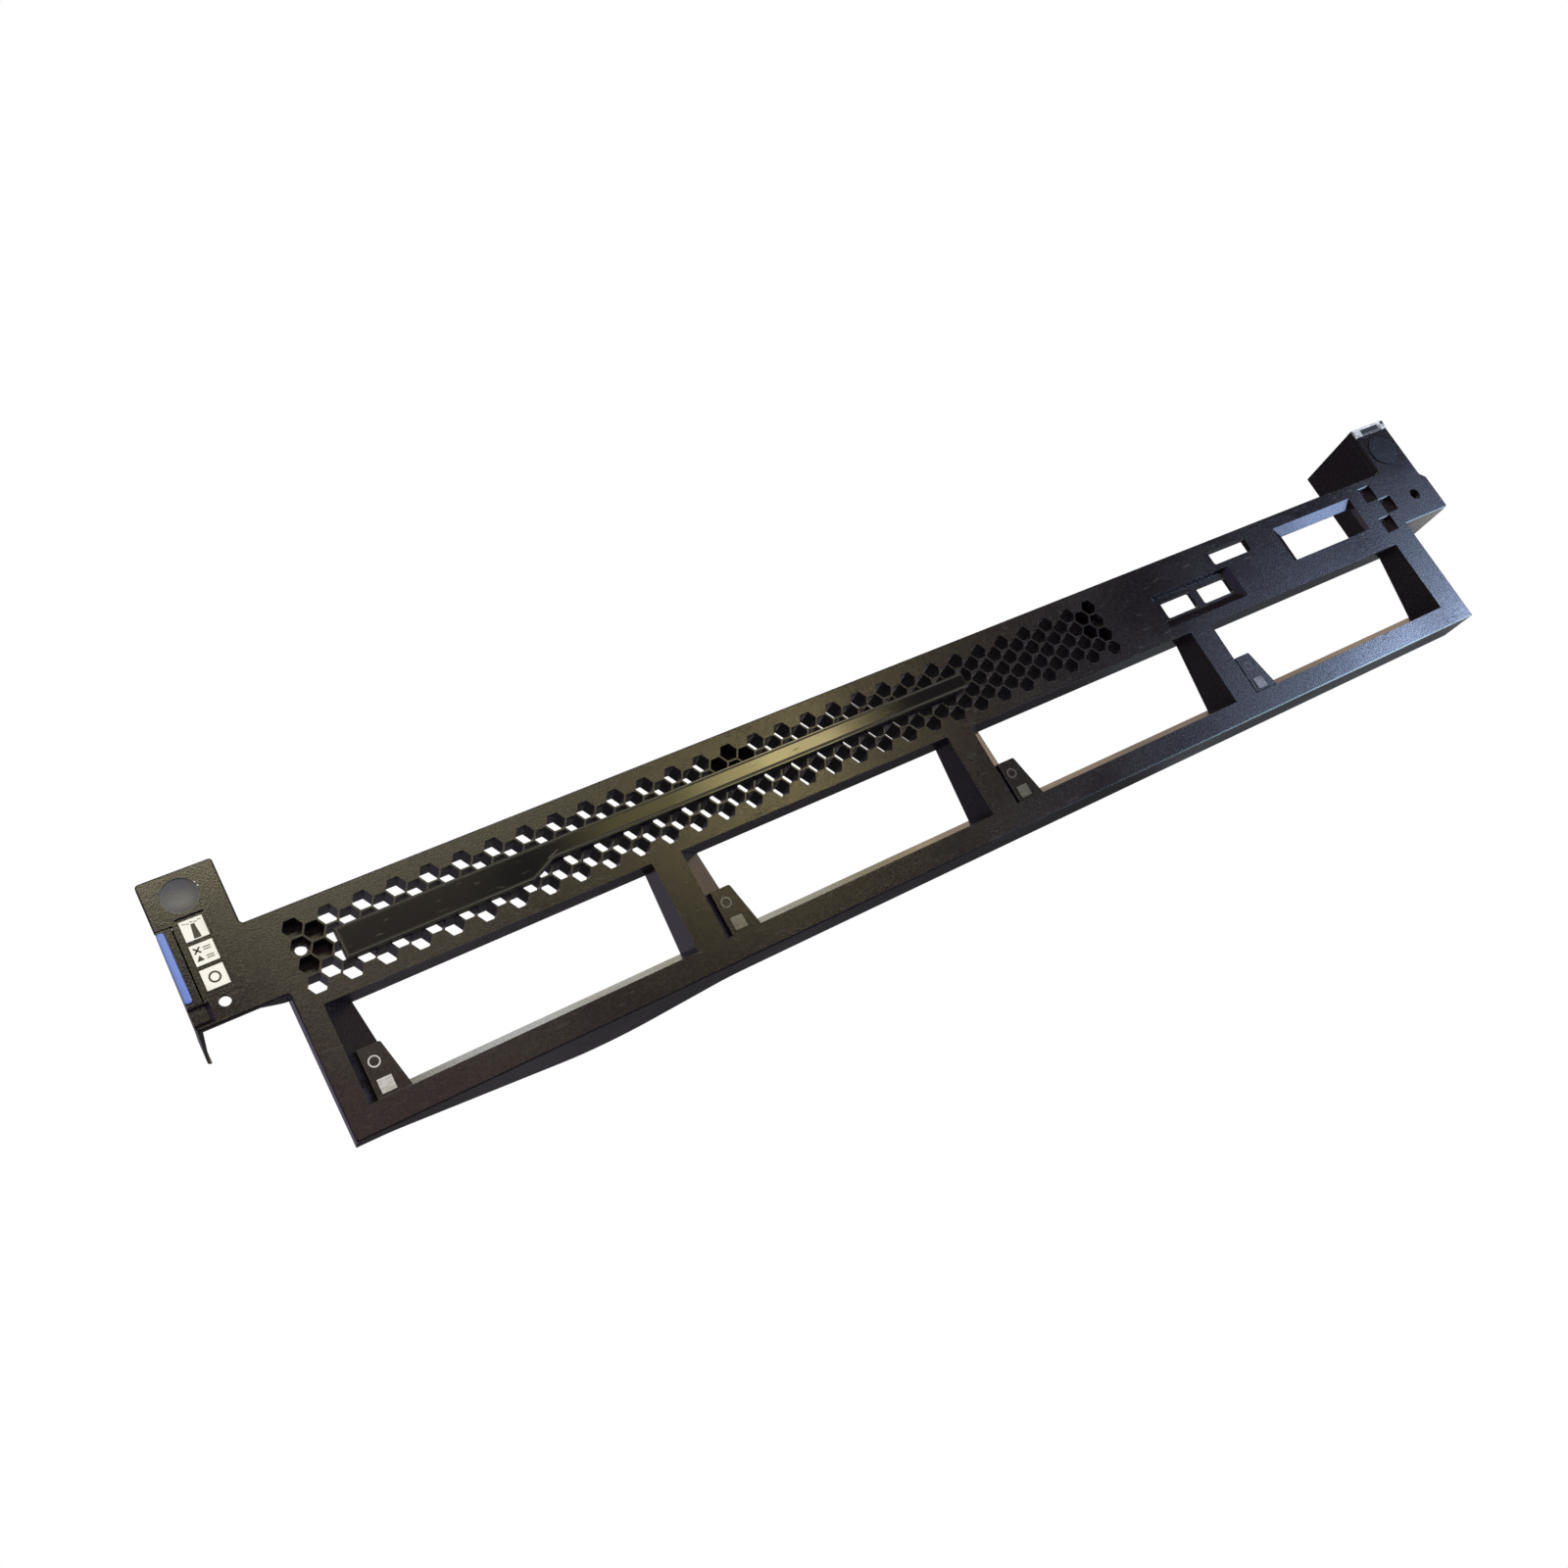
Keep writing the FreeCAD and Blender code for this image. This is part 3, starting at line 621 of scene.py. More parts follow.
class Finishes:
    """Every finish of the bezel, built once and found by its name."""

    # Each edge colour below is partly real rubbing and partly a painted highlight along the edges.
    SATIN = PlasticFinish(
        "bar_satin", base=(0.006, 0.005, 0.006), mottle=(0.008, 0.007, 0.008),
        wear_and_highlight_tone=(0.1, 0.09, 0.06), roughness=0.115, grain_per_m=2600.0, grain_depth=0.008 * MM,
        wear_and_highlight=0.5, wear_and_highlight_width=0.3 * MM)
    PLAIN = (
        PlasticFinish(
            "frame_dark", base=(0.0055, 0.0032, 0.0055), mottle=(0.0125, 0.0082, 0.0118),
            wear_and_highlight_tone=(0.06, 0.06, 0.07), roughness=0.22, grain_per_m=2300.0, grain_depth=0.05 * MM,
            wear_and_highlight=0.3, wear_and_highlight_width=0.5 * MM, fleck_dulling=0.04),
        PlasticFinish(
            "disc_grey", base=(0.069, 0.073, 0.086), mottle=(0.087, 0.091, 0.105),
            wear_and_highlight_tone=(0.2, 0.2, 0.2), roughness=0.42, grain_per_m=3000.0, grain_depth=0.03 * MM,
            wear_and_highlight=0.2),
        PlasticFinish(
            "touch_blue", base=(0.112, 0.203, 0.59), mottle=(0.13, 0.225, 0.62),
            wear_and_highlight_tone=(0.2, 0.33, 0.7), roughness=0.45, grain_per_m=3000.0, grain_depth=0.03 * MM,
            wear_and_highlight=0.2),
        PlasticFinish(
            "inlay_dark", base=(0.006, 0.007, 0.012), mottle=(0.009, 0.01, 0.016),
            wear_and_highlight_tone=(0.03, 0.03, 0.04), roughness=0.27, grain_per_m=1800.0, grain_depth=0.03 * MM,
            wear_and_highlight=0.2, wear_and_highlight_width=0.5 * MM),
        SteelFinish("pin_steel", base=(0.56, 0.56, 0.57), roughness=0.28),
        FilmFinish("label_white", base=(0.88, 0.86, 0.80), shade=(0.80, 0.79, 0.74),
                   roughness=0.45),
        FilmFinish("mark_ink", base=(0.045, 0.035, 0.03), shade=(0.06, 0.05, 0.045),
                   roughness=0.5),
        FilmFinish("glint", base=(0.7, 0.74, 0.8), shade=(0.6, 0.64, 0.7), roughness=0.3),
        FilmFinish("badge_foil", base=(0.62, 0.63, 0.65), shade=(0.12, 0.12, 0.14),
                   roughness=0.3, metallic=0.25, crinkle=0.5, patches_per_m=700.0),
        FilmFinish("badge_bright", base=(0.78, 0.8, 0.84), shade=(0.5, 0.52, 0.56),
                   roughness=0.3, metallic=0.1, crinkle=0.2, patches_per_m=300.0),
        FilmFinish("badge_grey", base=(0.10, 0.10, 0.11), shade=(0.05, 0.05, 0.06),
                   roughness=0.4, patches_per_m=500.0),
        FilmFinish("badge_field", base=(0.008, 0.008, 0.014), shade=(0.014, 0.014, 0.022),
                   roughness=0.4, patches_per_m=700.0),
    )
    # Painted light: the four drive tabs carry one silver film. Each row's ring and label colours
    # are that film made lighter, darker, warmer or cooler for the light on its window. Columns:
    # name, ring colour, label colour, share of print.
    PAINTED_LIGHT_TABS = (
        ("bright", (0.62, 0.6, 0.6), (0.62, 0.61, 0.62), 0.25),
        ("warm", (0.15, 0.14, 0.12), (0.17, 0.16, 0.13), 0.5),
        ("faint", (0.085, 0.08, 0.075), (0.12, 0.115, 0.10), 0.5),
        ("cool", (0.10, 0.105, 0.12), (0.21, 0.22, 0.26), 0.4),
    )
    NODES = {
        "frame_dark": ("bezel_frame", "latch_lever", "right_ear_housing"),
        "bar_satin": ("name_bar",),
        "label_white": ("label_tile_top", "label_tile_middle", "label_tile_bottom"),
        # Each drive label takes its tab's painted-light copy of the silver film.
        "label_bright": ("drive_label_1",),
        "label_warm": ("drive_label_2",),
        "label_faint": ("drive_label_3",),
        "label_cool": ("drive_label_4",),
        "pin_steel": ("latch_pin",),
        "badge_foil": ("ear_badge_frame",),
        "badge_field": ("ear_badge_field",),
        "inlay_dark": ("round_badge",),
    }

    def __init__(self) -> None:
        """Build the shared groups and the materials."""
        groups = SharedGroups()
        looks = [BarFinish(self.SATIN, *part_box("name_bar")), *self.PLAIN]
        # Lit and shaded copies of one ring colour and one label colour, one pair per drive tab.
        for name, ring, label, share in self.PAINTED_LIGHT_TABS:
            looks.append(FilmFinish(f"ring_{name}", base=ring, shade=scaled(ring, 0.8),
                                    roughness=0.5))
            looks.append(FilmFinish(f"label_{name}", base=label, shade=scaled(label, 0.7),
                                    roughness=0.34, metallic=0.2, ink_share=share))
        self.by_name = {look.name: look.build(groups) for look in looks}

    def __getitem__(self, name: str) -> bpy.types.Material:
        """Give the material with this name."""
        return self.by_name[name]

    def dress(self) -> None:
        """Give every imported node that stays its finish."""
        for name, nodes in self.NODES.items():
            for node in nodes:
                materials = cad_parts[node].data.materials
                materials.clear()
                materials.append(self[name])
                LOG.info("dressed %s with %s", node, name)


def deselect() -> None:
    """Leave edit mode and deselect everything."""
    if bpy.context.mode != "OBJECT":
        bpy.ops.object.mode_set(mode="OBJECT")
    bpy.ops.object.select_all(action="DESELECT")


def start_editing() -> None:
    """Bake the active object's turn and scale into its mesh and select all of it in edit mode."""
    bpy.ops.object.transform_apply(location=False, rotation=True, scale=True)
    bpy.ops.object.mode_set(mode="EDIT")
    bpy.ops.mesh.select_all(action="SELECT")


def stop_editing(smooth_below: Optional[float] = None) -> None:
    """Turn all faces outwards and leave edit mode.

    Args:
        smooth_below: the angle in degrees below which edges are shaded smooth, if any.
    """
    bpy.ops.mesh.select_all(action="SELECT")
    bpy.ops.mesh.normals_make_consistent(inside=False)
    bpy.ops.object.mode_set(mode="OBJECT")
    if smooth_below:
        bpy.ops.object.shade_smooth_by_angle(angle=math.radians(smooth_below))


def start_block(low: Vector, high: Vector) -> None:
    """Add a block and start to edit it.

    Args:
        low: its lowest corner.
        high: its highest corner.
    """
    deselect()
    bpy.ops.mesh.primitive_cube_add(size=1.0, location=middle_of(low, high))
    bpy.context.active_object.scale = high - low
    start_editing()


def extrude_along_y(distance: float) -> None:
    """Extrude what is selected along Y."""
    bpy.ops.mesh.extrude_region_move(TRANSFORM_OT_translate={"value": (0.0, distance, 0.0)})


def finish_piece(name: str, material: bpy.types.Material, body: Body,
                 replaced: Optional[str] = None) -> None:
    """Bake the active object's place into its mesh, dress it and seat it on its body.

    Args:
        name: the piece's name.
        material: its finish.
        body: the body that it rides on.
        replaced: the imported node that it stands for.
    """
    if bpy.context.mode != "OBJECT":
        bpy.ops.object.mode_set(mode="OBJECT")
    piece = bpy.context.active_object
    piece.name = name
    piece.data.name = name
    bpy.ops.object.transform_apply(location=True, rotation=True, scale=True)
    piece.data.materials.clear()
    piece.data.materials.append(material)
    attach(piece, body.value)
    if replaced:
        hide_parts(replaced)
    LOG.info("made %s: %d faces", name, len(piece.data.polygons))


def select_only(kind: str, test: Callable[[Element], bool]) -> int:
    """In edit mode, select only the active mesh's edges or faces that pass a test.

    Args:
        kind: EDGE or FACE.
        test: called with each edge or face.

    Returns:
        The number that passed.
    """
    bpy.ops.mesh.select_mode(type=kind)
    bpy.ops.mesh.select_all(action="DESELECT")
    mesh = bmesh.from_edit_mesh(bpy.context.active_object.data)
    passed = [item for item in (mesh.edges if kind == "EDGE" else mesh.faces) if test(item)]
    for item in passed:
        item.select_set(True)
    bmesh.update_edit_mesh(bpy.context.active_object.data)
    return len(passed)


def middle_of(low: Vector, high: Vector) -> Vector:
    """Give the middle of a box."""
    return (low + high) / 2


class FlatMark:
    """A thin printed mark that lies on a surface facing the front.

    Lengths are in metres.
    """

    THICKNESS = 0.03 * MM
    RING_CORNERS = 40

    def __init__(self, surface_y: float, material: bpy.types.Material, slot: Slot) -> None:
        """Set the surface and the ink.

        Args:
            surface_y: the y of the surface.
            material: the ink's finish.
            slot: the record's slot; stored, but not used.
        """
        self.surface_y = surface_y
        self.material = material
        self.slot = slot

    def start(self, x: float, z: float, wide: float, high: float, turn: float = 0.0,
              corners: int = 4) -> None:
        """Add the mark's flat outline, facing the front.

        Args:
            x: the middle's x.
            z: the middle's z.
            wide: the width.
            high: the height.
            turn: the turn in the plane, in degrees.
            corners: the number of corners, 4 for a rectangle.
        """
        deselect()
        pose = {"location": (x, self.surface_y, z),
                "rotation": (math.pi / 2, math.radians(turn), 0.0)}
        if corners == 4:
            bpy.ops.mesh.primitive_plane_add(size=1.0, **pose)
        else:
            bpy.ops.mesh.primitive_circle_add(vertices=corners, radius=0.5, fill_type="NGON",
                                              **pose)
        bpy.context.active_object.scale = (wide, high, 1.0)
        start_editing()

    def thicken(self) -> bpy.types.Object:
        """Give the outline its thickness towards the front.

        Returns:
            The part, ready for joining.
        """
        bpy.ops.mesh.select_all(action="SELECT")
        extrude_along_y(-self.THICKNESS)
        stop_editing()
        return bpy.context.active_object

    def bar(self, *outline: float, **shape: float) -> bpy.types.Object:
        """Make a plain bar or a filled mark from the arguments that start() takes."""
        self.start(*outline, **shape)
        return self.thicken()

    def wedge(self, x: float, z: float, foot: float, top: float, high: float) -> bpy.types.Object:
        """Make a bar whose top is narrower than its foot.

        Args:
            x: the middle's x.
            z: the middle's z.
            foot: the width of the foot.
            top: the width of the top.
            high: the height.

        Returns:
            The part, ready for joining.
        """
        self.start(x, z, foot, high)
        count = select_only("EDGE", lambda edge: all(v.co.z > 0 for v in edge.verts))
        assert count == 1, "the wedge's top edge was not found"
        bpy.ops.transform.resize(value=(top / foot, 1.0, 1.0))
        return self.thicken()

    def ring(self, x: float, z: float, radius: float, width: float) -> bpy.types.Object:
        """Make a flat ring.

        Args:
            x: the middle's x.
            z: the middle's z.
            radius: the outer radius.
            width: the width of the line.

        Returns:
            The part, ready for joining.
        """
        self.start(x, z, 2 * radius, 2 * radius, corners=self.RING_CORNERS)
        bpy.ops.mesh.inset(thickness=width)
        bpy.ops.mesh.delete(type="FACE")
        return self.thicken()

    def seal(self, name: str, parts: Sequence[bpy.types.Object]) -> None:
        """Join the parts of one printed mark and seat it on the frame.

        Args:
            name: the finished mark's name.
            parts: its parts.
        """
        deselect()
        for part in parts:
            part.select_set(True)
        bpy.context.view_layer.objects.active = parts[0]
        if len(parts) > 1:
            bpy.ops.object.join()
        finish_piece(name, self.material, Body.FRAME)


@dataclass
class LeftEar:
    """The left ear's disc, two painted glints at its edge and the marks on the white tiles."""

    finishes: Finishes
    dish_rings: int = 8
    disc_segments: int = 96
    dish_depth: float = 0.55 * MM
    rim: float = 0.3 * MM
    glint_offset: float = 0.25 * MM
    glint_height: float = 0.3 * MM
    painted_glints: Tuple[Tuple[float, float], ...] = ((25.0, 0.42 * MM), (11.0, 0.55 * MM))

    def build(self) -> None:
        """Add the ear's fine pieces."""
        self.make_disc()
        self.make_gauge_mark()
        self.make_choice_mark()
        self.make_plain_mark()
        self.make_painted_rim_glints()

    def make_disc(self) -> None:
        """Make the dished disc by insetting its front face ring by ring."""
        low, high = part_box("left_ear_disc")
        middle = middle_of(low, high)
        radius = (high.x - low.x) / 2
        deselect()
        bpy.ops.mesh.primitive_circle_add(
            vertices=self.disc_segments, radius=radius, fill_type="NGON",
            location=(middle.x, high.y, middle.z), rotation=(math.pi / 2, 0.0, 0.0))
        start_editing()
        extrude_along_y(low.y - high.y)
        bpy.ops.mesh.inset(thickness=self.rim * 0.5, depth=0.0)
        step = (radius - self.rim) / (self.dish_rings + 1)
        for ring in range(self.dish_rings):
            outer = 1.0 - ring / self.dish_rings
            inner = 1.0 - (ring + 1) / self.dish_rings
            fall = self.dish_depth * (outer ** 2 - inner ** 2)
            bpy.ops.mesh.inset(thickness=step, depth=-fall)
        bpy.ops.mesh.poke()
        stop_editing(smooth_below=35.0)
        finish_piece("ear_disc_dished", self.finishes["disc_grey"], Body.FRAME,
                     "left_ear_disc")

    def tile(self, node: str) -> Tuple[FlatMark, Vector]:
        """Give the pen for one tile and the tile's middle."""
        low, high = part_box(node)
        return FlatMark(low.y, self.finishes["mark_ink"], Slot.LABEL), middle_of(low, high)

    def make_gauge_mark(self) -> None:
        """Make the top tile's mark: a tapered column under a row of short strokes."""
        pen, middle = self.tile("label_tile_top")
        parts = [pen.wedge(middle.x + 0.1 * MM, middle.z - 0.6 * MM, foot=1.9 * MM, top=1.0 * MM,
                           high=4.1 * MM)]
        for index in range(5):
            x = middle.x + (-2.0 + index) * MM
            z = middle.z + (2.0 - 0.25 * (index % 2)) * MM
            parts.append(pen.bar(x, z, 0.8 * MM, 0.2 * MM, turn=12.0))
        pen.seal("tile_mark_top", parts)

    def make_choice_mark(self) -> None:
        """Make the middle tile's mark: a cross and a triangle, each with two strokes beside it."""
        pen, middle = self.tile("label_tile_middle")
        left, right = middle.x - 1.45 * MM, middle.x + 1.1 * MM
        upper, lower = middle.z + 1.15 * MM, middle.z - 1.3 * MM
        parts = [pen.bar(left, upper, 2.3 * MM, 0.44 * MM, turn=turn) for turn in (45.0, -45.0)]
        parts.append(pen.bar(left, lower, 2.2 * MM, 2.1 * MM, corners=3))
        for z in (upper, lower):
            for shift in (-0.32 * MM, 0.32 * MM):
                parts.append(pen.bar(right, z + shift, 1.9 * MM, 0.24 * MM))
        pen.seal("tile_mark_middle", parts)

    def make_plain_mark(self) -> None:
        """Make the bottom tile's plain mark: a small ring."""
        pen, middle = self.tile("label_tile_bottom")
        pen.seal("tile_mark_bottom", [pen.ring(middle.x, middle.z, 1.6 * MM, 0.5 * MM)])

    def make_painted_rim_glints(self) -> None:
        """Make two tiny painted glints: bright marks in the edge round the disc that stand in for
        highlights on its rim.
        """
        low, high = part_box("left_ear_disc")
        middle = middle_of(low, high)
        radius = (high.x - low.x) / 2 + self.glint_offset
        pen = FlatMark(FRONT_PLANE, self.finishes["glint"], Slot.LABEL)
        parts = []
        # Painted highlights: each glint is a small bright mark on the rim.
        for angle, wide in self.painted_glints:
            turn = math.radians(angle)
            x, z = middle.x + radius * math.cos(turn), middle.z + radius * math.sin(turn)
            parts.append(pen.bar(x, z, wide, self.glint_height, corners=10))
        pen.seal("disc_rim_painted_glints", parts)


@dataclass
class Latch:
    """The latch's grip strip, its spring, and a thin dark lip in its opening that stands in for the
    shade in the slit.
    """

    finishes: Finishes
    corner: float = 0.72 * MM
    soft_edge: float = 0.22 * MM
    wire: float = 0.22 * MM
    wire_sides: int = 10
    turns: int = 3
    steps_per_turn: int = 28
    opening_from_end: float = 4.55 * MM
    opening_heights: Tuple[float, float] = (49.1 * MM, 71.2 * MM)
    lip_reach: float = 0.15 * MM
    lip_depths: Tuple[float, float] = (1.6 * MM, 1.95 * MM)

    def build(self) -> None:
        """Add the latch's fine pieces."""
        self.make_touch_strip()
        self.make_spring()
        self.make_slit_shade_lip()

    def make_slit_shade_lip(self) -> None:
        """Make the thin dark lip at the right edge of the latch's opening: a sheet that closes the
        slit so that it shows as shade.
        """
        low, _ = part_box("bezel_frame")
        edge = low.x + self.opening_from_end
        near, far = (FRONT_PLANE + depth for depth in self.lip_depths)
        base, top = self.opening_heights
        # A dark sheet in the slit, standing in for the shade there.
        start_block(Vector((edge - self.lip_reach, near, base)),
                    Vector((edge + self.lip_reach, far, top)))
        found = select_only(
            "EDGE", lambda edge: all(v.co.x < 0 and v.co.y < 0 for v in edge.verts))
        assert found == 1, "the lip's free front edge was not found"
        bpy.ops.mesh.bevel(offset=self.lip_reach / 3, segments=2, affect="EDGES")
        finish_piece("latch_slit_shade_lip", self.finishes["frame_dark"], Body.FRAME)

    def make_touch_strip(self) -> None:
        """Make the grip strip: a block with round ends and softened edges."""
        low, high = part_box("latch_touch_strip")
        start_block(low, high)
        near = 1e-7
        ends = select_only(
            "EDGE", lambda edge: abs(edge.verts[0].co.x - edge.verts[1].co.x) < near
            and abs(edge.verts[0].co.z - edge.verts[1].co.z) < near)
        assert ends == 4, "the strip's corner edges were not found"
        bpy.ops.mesh.bevel(offset=self.corner, segments=8, affect="EDGES")
        front = -(high.y - low.y) / 2
        select_only("EDGE", lambda edge: all(abs(v.co.y - front) < near for v in edge.verts))
        bpy.ops.mesh.bevel(offset=self.soft_edge, segments=3, affect="EDGES")
        stop_editing(smooth_below=50.0)
        finish_piece("touch_strip_soft", self.finishes["touch_blue"], Body.LATCH,
                     "latch_touch_strip")

    def make_spring(self) -> None:
        """Make the spring: a wire section swept round by a Screw modifier, with a straight leg."""
        low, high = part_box("latch_spring")
        centre = middle_of(*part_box("latch_pin"))
        ring = high.x - centre.x - self.wire
        pitch = (high.z - low.z - 2 * self.wire) / self.turns
        deselect()
        bpy.ops.mesh.primitive_circle_add(
            vertices=self.wire_sides, radius=self.wire, fill_type="NOTHING",
            location=(centre.x + ring, centre.y, low.z + self.wire),
            rotation=(math.pi / 2, 0.0, 0.0))
        coil = bpy.context.active_object
        bpy.ops.object.transform_apply(location=True, rotation=True, scale=True)
        coil.data.transform(Matrix.Translation((-centre.x, -centre.y, 0.0)))
        screw = coil.modifiers.new("coil", "SCREW")
        screw.axis = "Z"
        screw.screw_offset = pitch
        screw.iterations = self.turns
        screw.steps = screw.render_steps = self.steps_per_turn
        bpy.ops.object.modifier_apply(modifier="coil")
        coil.data.transform(Matrix.Translation((centre.x, centre.y, 0.0)))
        bpy.ops.object.mode_set(mode="EDIT")
        select_only("EDGE", lambda edge: edge.is_boundary)
        bpy.ops.mesh.edge_face_add()
        top = low.z + self.wire + pitch * self.turns
        chosen = select_only("FACE", lambda face: len(face.verts) == self.wire_sides
                             and face.calc_center_median().z > top - pitch / 2)
        assert chosen == 1, "the end of the wire was not found"
        extrude_along_y(high.y - centre.y)
        bpy.ops.mesh.select_all(action="SELECT")
        bpy.ops.mesh.remove_doubles(threshold=1e-6)
        stop_editing(smooth_below=50.0)
        finish_piece("latch_spring_coil", self.finishes["pin_steel"], Body.FRAME,
                     "latch_spring")


@dataclass
class DriveTabs:
    """The ring above the label on the tab of each drive window, in that tab's painted-light copy of
    the ring colour.
    """

    finishes: Finishes
    ring_above: float = 6.8 * MM
    ring_right: float = -0.5 * MM
    ring_radius: float = 1.65 * MM
    ring_width: float = 0.38 * MM

    def build(self) -> None:
        """Add a ring above each label."""
        for number, (name, *_) in enumerate(Finishes.PAINTED_LIGHT_TABS, start=1):
            node = f"drive_label_{number}"
            low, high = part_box(node)
            middle = middle_of(low, high)
            # The ring's colour is its tab's copy, painted lighter or darker for the light on that
            # window.
            pen = FlatMark(high.y, self.finishes[f"ring_{name}"], Slot.SILVER)
            x, z = middle.x + self.ring_right, middle.z + self.ring_above
            pen.seal(f"tab_ring_{number}", [pen.ring(x, z, self.ring_radius, self.ring_width)])


@dataclass
class RightEar:
    """The bands of the right ear's bare badge, and a flat dark patch of painted shade at its folded
    corner.
    """

    finishes: Finishes
    band_margin: float = 0.12 * MM
    foot_left: float = 0.2 * MM
    foot_right: float = 1.0 * MM
    fold_width: float = 1.5 * MM
    fold_height: float = 1.25 * MM

    def build(self) -> None:
        """Make the badge's bright top band, its grey foot band and a flat dark patch of painted
        shade at the folded corner.
        """
        low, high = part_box("ear_badge_frame")
        field_low, field_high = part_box("ear_badge_field")
        margin = self.band_margin
        folded = low.y - FlatMark.THICKNESS
        boxes = (
            ("badge_band_top", "badge_bright", low.y,
             (low.x + margin, high.x - margin), (field_high.z + margin, high.z - margin)),
            ("badge_band_foot", "badge_grey", low.y,
             (field_low.x - self.foot_left, field_high.x + self.foot_right),
             (low.z + margin / 2, field_low.z - margin / 2)),
            # A flat dark patch: painted shade where the foil's corner is folded.
            ("badge_fold_painted_shade", "badge_field", folded,
             (high.x - margin - self.fold_width, high.x - margin),
             (high.z - margin - self.fold_height, high.z - margin)),
        )
        for name, finish, surface, (left, right), (base, top) in boxes:
            pen = FlatMark(surface, self.finishes[finish], Slot.BADGE)
            pen.seal(name, [
                pen.bar((left + right) / 2, (base + top) / 2, right - left, top - base)])


@dataclass(frozen=True)
class Lamp:
    """A soft rectangular lamp, placed by its direction from the bezel's middle and aimed at it.

    Directions and sizes are in degrees, and straight ahead of the front is azimuth 0.
    """

    DISTANCE = 1.6
    AIM = (0.0, 0.0, 0.03)
    WATTS_PER_RADIANCE = 4.0

    name: str
    azimuth: float
    elevation: float
    wide: float
    high: float
    radiance: Colour

    def build(self) -> None:
        """Add the lamp."""
        azimuth, elevation, half_width, half_height = (
            math.radians(angle)
            for angle in (self.azimuth, self.elevation, self.wide / 2, self.high / 2))
        level = math.cos(elevation)
        towards = Vector((math.sin(azimuth) * level, -math.cos(azimuth) * level,
                          math.sin(elevation)))
        brightest = max(self.radiance)
        data = bpy.data.lights.new(self.name, "AREA")
        data.shape = "RECTANGLE"
        data.size = 2 * self.DISTANCE * math.tan(half_width) * level
        data.size_y = 2 * self.DISTANCE * math.tan(half_height)
        data.energy = self.WATTS_PER_RADIANCE * data.size * data.size_y * brightest
        data.color = scaled(self.radiance, 1 / brightest)
        lamp = bpy.data.objects.new(self.name, data)
        bpy.context.scene.collection.objects.link(lamp)
        lamp.visible_camera = False
        lamp.location = Vector(self.AIM) + towards * self.DISTANCE
        lamp.rotation_euler = (-towards).to_track_quat("-Z", "Y").to_euler()


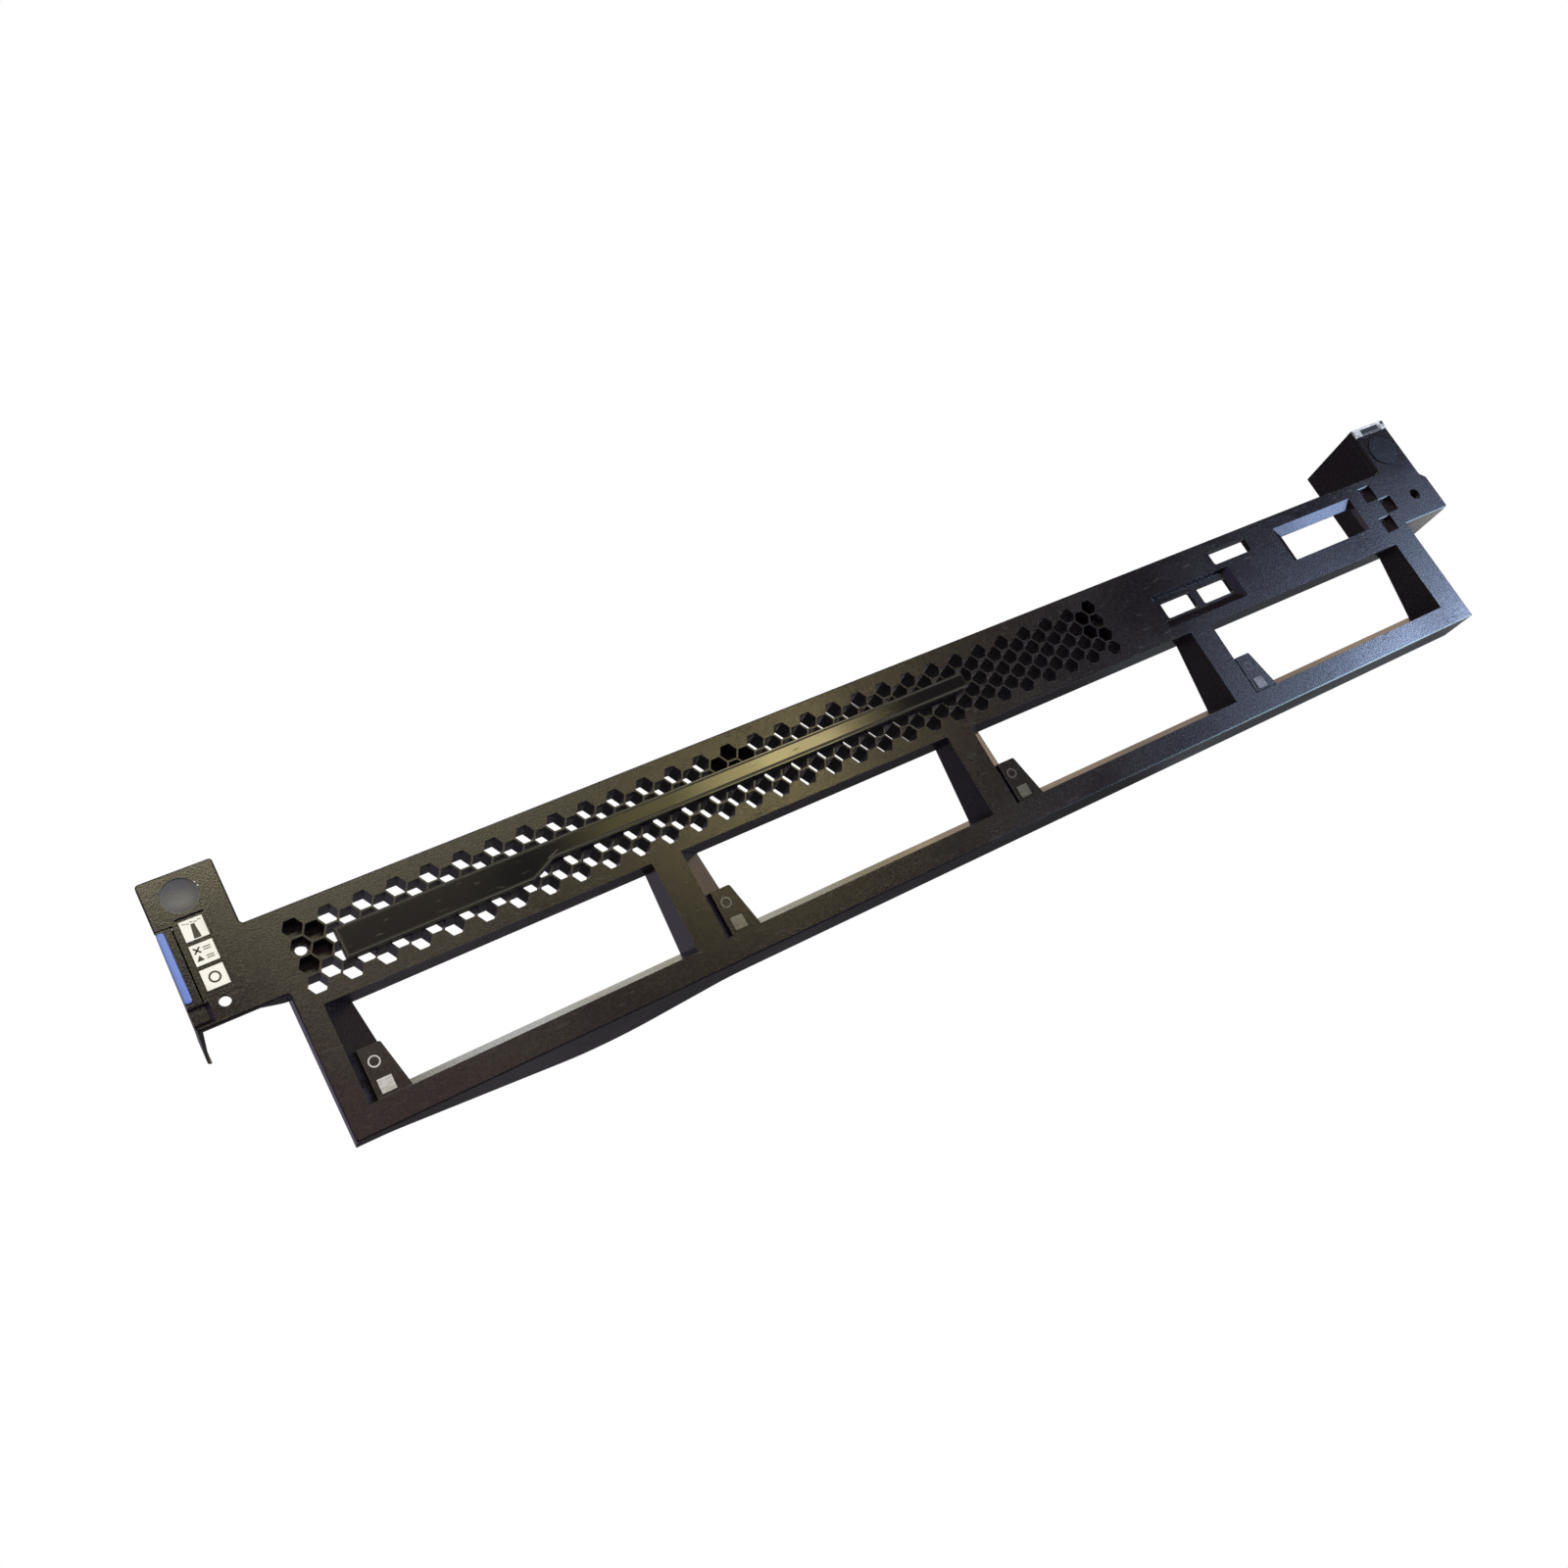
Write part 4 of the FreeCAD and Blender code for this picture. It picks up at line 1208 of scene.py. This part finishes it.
@dataclass(frozen=True)
class Studio:
    """The pale floor, the white surroundings, and lamps for a window, a ceiling and pale walls."""

    LAMPS = (
        Lamp("window_edge", 55.0, 2.6, 12.0, 5.5, (11.7, 15.0, 22.6)),
        Lamp("window_low", 66.0, -26.0, 20.0, 12.0, (4.95, 6.64, 11.11)),
        Lamp("window_foot", 86.0, -37.0, 20.0, 18.0, (5.94, 8.43, 10.43)),
        Lamp("ceiling_strip", 25.4, 16.0, 4.4, 6.0, (8.6, 7.2, 3.4)),
        Lamp("ceiling_slope", 21.6, 16.0, 4.4, 6.0, (5.6, 4.8, 2.0)),
        Lamp("ceiling_glow", 16.4, 17.0, 6.0, 6.0, (1.5, 1.32, 0.5)),
        Lamp("front_band", 24.0, 7.0, 30.0, 9.0, (0.14, 0.12, 0.09)),
        Lamp("ceiling_left", -4.0, 29.0, 40.0, 10.0, (7.72, 6.97, 4.52)),
        Lamp("left_side", -68.0, 12.0, 32.0, 24.0, (0.24, 0.24, 0.52)),
        Lamp("left_back", -105.0, 15.0, 30.0, 30.0, (0.68, 0.56, 0.71)),
        Lamp("front_low", -6.0, 4.0, 28.0, 8.0, (1.26, 0.75, 0.69)),
        Lamp("wall_left", -165.0, 15.0, 30.0, 30.0, (0.15, 0.13, 0.18)),
        Lamp("wall_middle", 165.0, 15.0, 30.0, 30.0, (0.32, 0.26, 0.14)),
        Lamp("wall_right", 135.0, 15.0, 30.0, 30.0, (0.39, 0.29, 0.21)),
        Lamp("wall_top", 165.0, 45.0, 30.0, 30.0, (2.46, 2.67, 2.81)),
        Lamp("floor_back", 180.0, -45.0, 60.0, 30.0, (1.05, 0.9, 1.05)),
        Lamp("table_right", 120.0, -8.0, 9.0, 14.0, (0.76, 0.72, 0.71)),
        Lamp("table_back", 131.0, -8.0, 18.0, 14.0, (0.08, 0.09, 0.1)),
    )

    floor_half: float = 3.0
    floor_drop: float = 0.4 * MM
    floor_colour: Colour = (0.8, 0.8, 0.8)
    ambient: float = 0.65
    mirrored: float = 0.045
    ambient_colour: Colour = (0.97, 0.98, 1.0)

    def build(self) -> None:
        """Set up floor, surroundings and lamps."""
        self.make_floor()
        self.make_world()
        for lamp in self.LAMPS:
            lamp.build()
        bpy.context.scene.view_settings.view_transform = "Standard"

    def make_floor(self) -> None:
        """Lay the floor, which only a camera above it sees, so that light reaches the underside."""
        deselect()
        bpy.ops.mesh.primitive_plane_add(size=2 * self.floor_half,
                                         location=(0.0, 0.0, -self.floor_drop))
        floor = bpy.context.active_object
        floor.name = "floor"
        material = bpy.data.materials.new("pale_floor")
        graph = start_tree(material)
        diffuse = graph.node("ShaderNodeBsdfDiffuse")
        graph.feed(diffuse, {"Color": opaque(self.floor_colour)})
        clear = graph.node("ShaderNodeBsdfTransparent")
        behind = graph.node("ShaderNodeNewGeometry").outputs["Backfacing"]
        above = graph.math("SUBTRACT", 1.0, behind)
        camera_ray = graph.node("ShaderNodeLightPath").outputs["Is Camera Ray"]
        seen = graph.math("MULTIPLY", camera_ray, above)
        self.pick(graph, "ShaderNodeOutputMaterial", seen, clear, diffuse)
        floor.data.materials.append(material)

    def make_world(self) -> None:
        """Make the surroundings: white to the camera, an even soft light to the object."""
        world = bpy.data.worlds.new("studio")
        bpy.context.scene.world = world
        graph = start_tree(world)
        path = graph.node("ShaderNodeLightPath").outputs
        strength = graph.ramp(path["Is Glossy Ray"], 0.0, 1.0, self.ambient, self.mirrored,
                              kind="LINEAR")
        lit = graph.node("ShaderNodeBackground")
        graph.feed(lit, {"Color": opaque(self.ambient_colour), "Strength": strength})
        white = graph.node("ShaderNodeBackground")
        graph.feed(white, {"Color": (1.0, 1.0, 1.0, 1.0)})
        self.pick(graph, "ShaderNodeOutputWorld", path["Is Camera Ray"], lit, white)

    def pick(self, graph: Graph, output: str, factor: Socket, first: bpy.types.Node,
             second: bpy.types.Node) -> None:
        """Mix two shaders into the tree's output.

        Args:
            graph: the tree's graph.
            output: the output node's type name.
            factor: the share of the second shader.
            first: the first shader's node.
            second: the second shader's node.
        """
        mixed = graph.node("ShaderNodeMixShader")
        graph.feed(mixed, {0: factor, 1: first.outputs[0], 2: second.outputs[0]})
        graph.feed(graph.node(output), {"Surface": mixed.outputs[0]})


@dataclass(frozen=True)
class PhotoCamera:
    """The camera where the photograph was taken: low at the left, looking up right and rolled."""

    place: Tuple[float, float, float] = (-0.25471, -0.40329, -0.06589)
    heading: float = 25.741
    elevation: float = 13.989
    roll: float = -29.475
    lens: float = 34.428
    sensor: float = 36.0
    clip_start: float = 0.01

    def build(self) -> None:
        """Add the camera and make it the scene's own."""
        heading, elevation, roll = (
            math.radians(angle) for angle in (self.heading, self.elevation, self.roll))
        forward = Vector((math.sin(heading) * math.cos(elevation),
                          math.cos(heading) * math.cos(elevation), math.sin(elevation)))
        level = Vector((math.cos(heading), -math.sin(heading), 0.0))
        upright = level.cross(forward)
        right = level * math.cos(roll) + upright * math.sin(roll)
        up = right.cross(forward)
        data = bpy.data.cameras.new("photo_camera")
        data.lens = self.lens
        data.sensor_width = self.sensor
        data.clip_start = self.clip_start
        camera = bpy.data.objects.new("photo_camera", data)
        bpy.context.scene.collection.objects.link(camera)
        turn = Matrix((right, up, -forward)).transposed().to_4x4()
        camera.matrix_world = Matrix.Translation(Vector(self.place)) @ turn
        bpy.context.scene.camera = camera


def write_sizes() -> None:
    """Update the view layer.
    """
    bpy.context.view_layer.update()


def main() -> None:
    """Build the camera, the studio and every dressed piece."""
    logging.basicConfig(level=logging.INFO, format="%(message)s")
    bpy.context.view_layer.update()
    PhotoCamera().build()
    Studio().build()
    finishes = Finishes()
    finishes.dress()
    for assembly in (LeftEar, Latch, DriveTabs, RightEar):
        assembly(finishes).build()
    write_sizes()


if __name__ == "__main__":
    main()
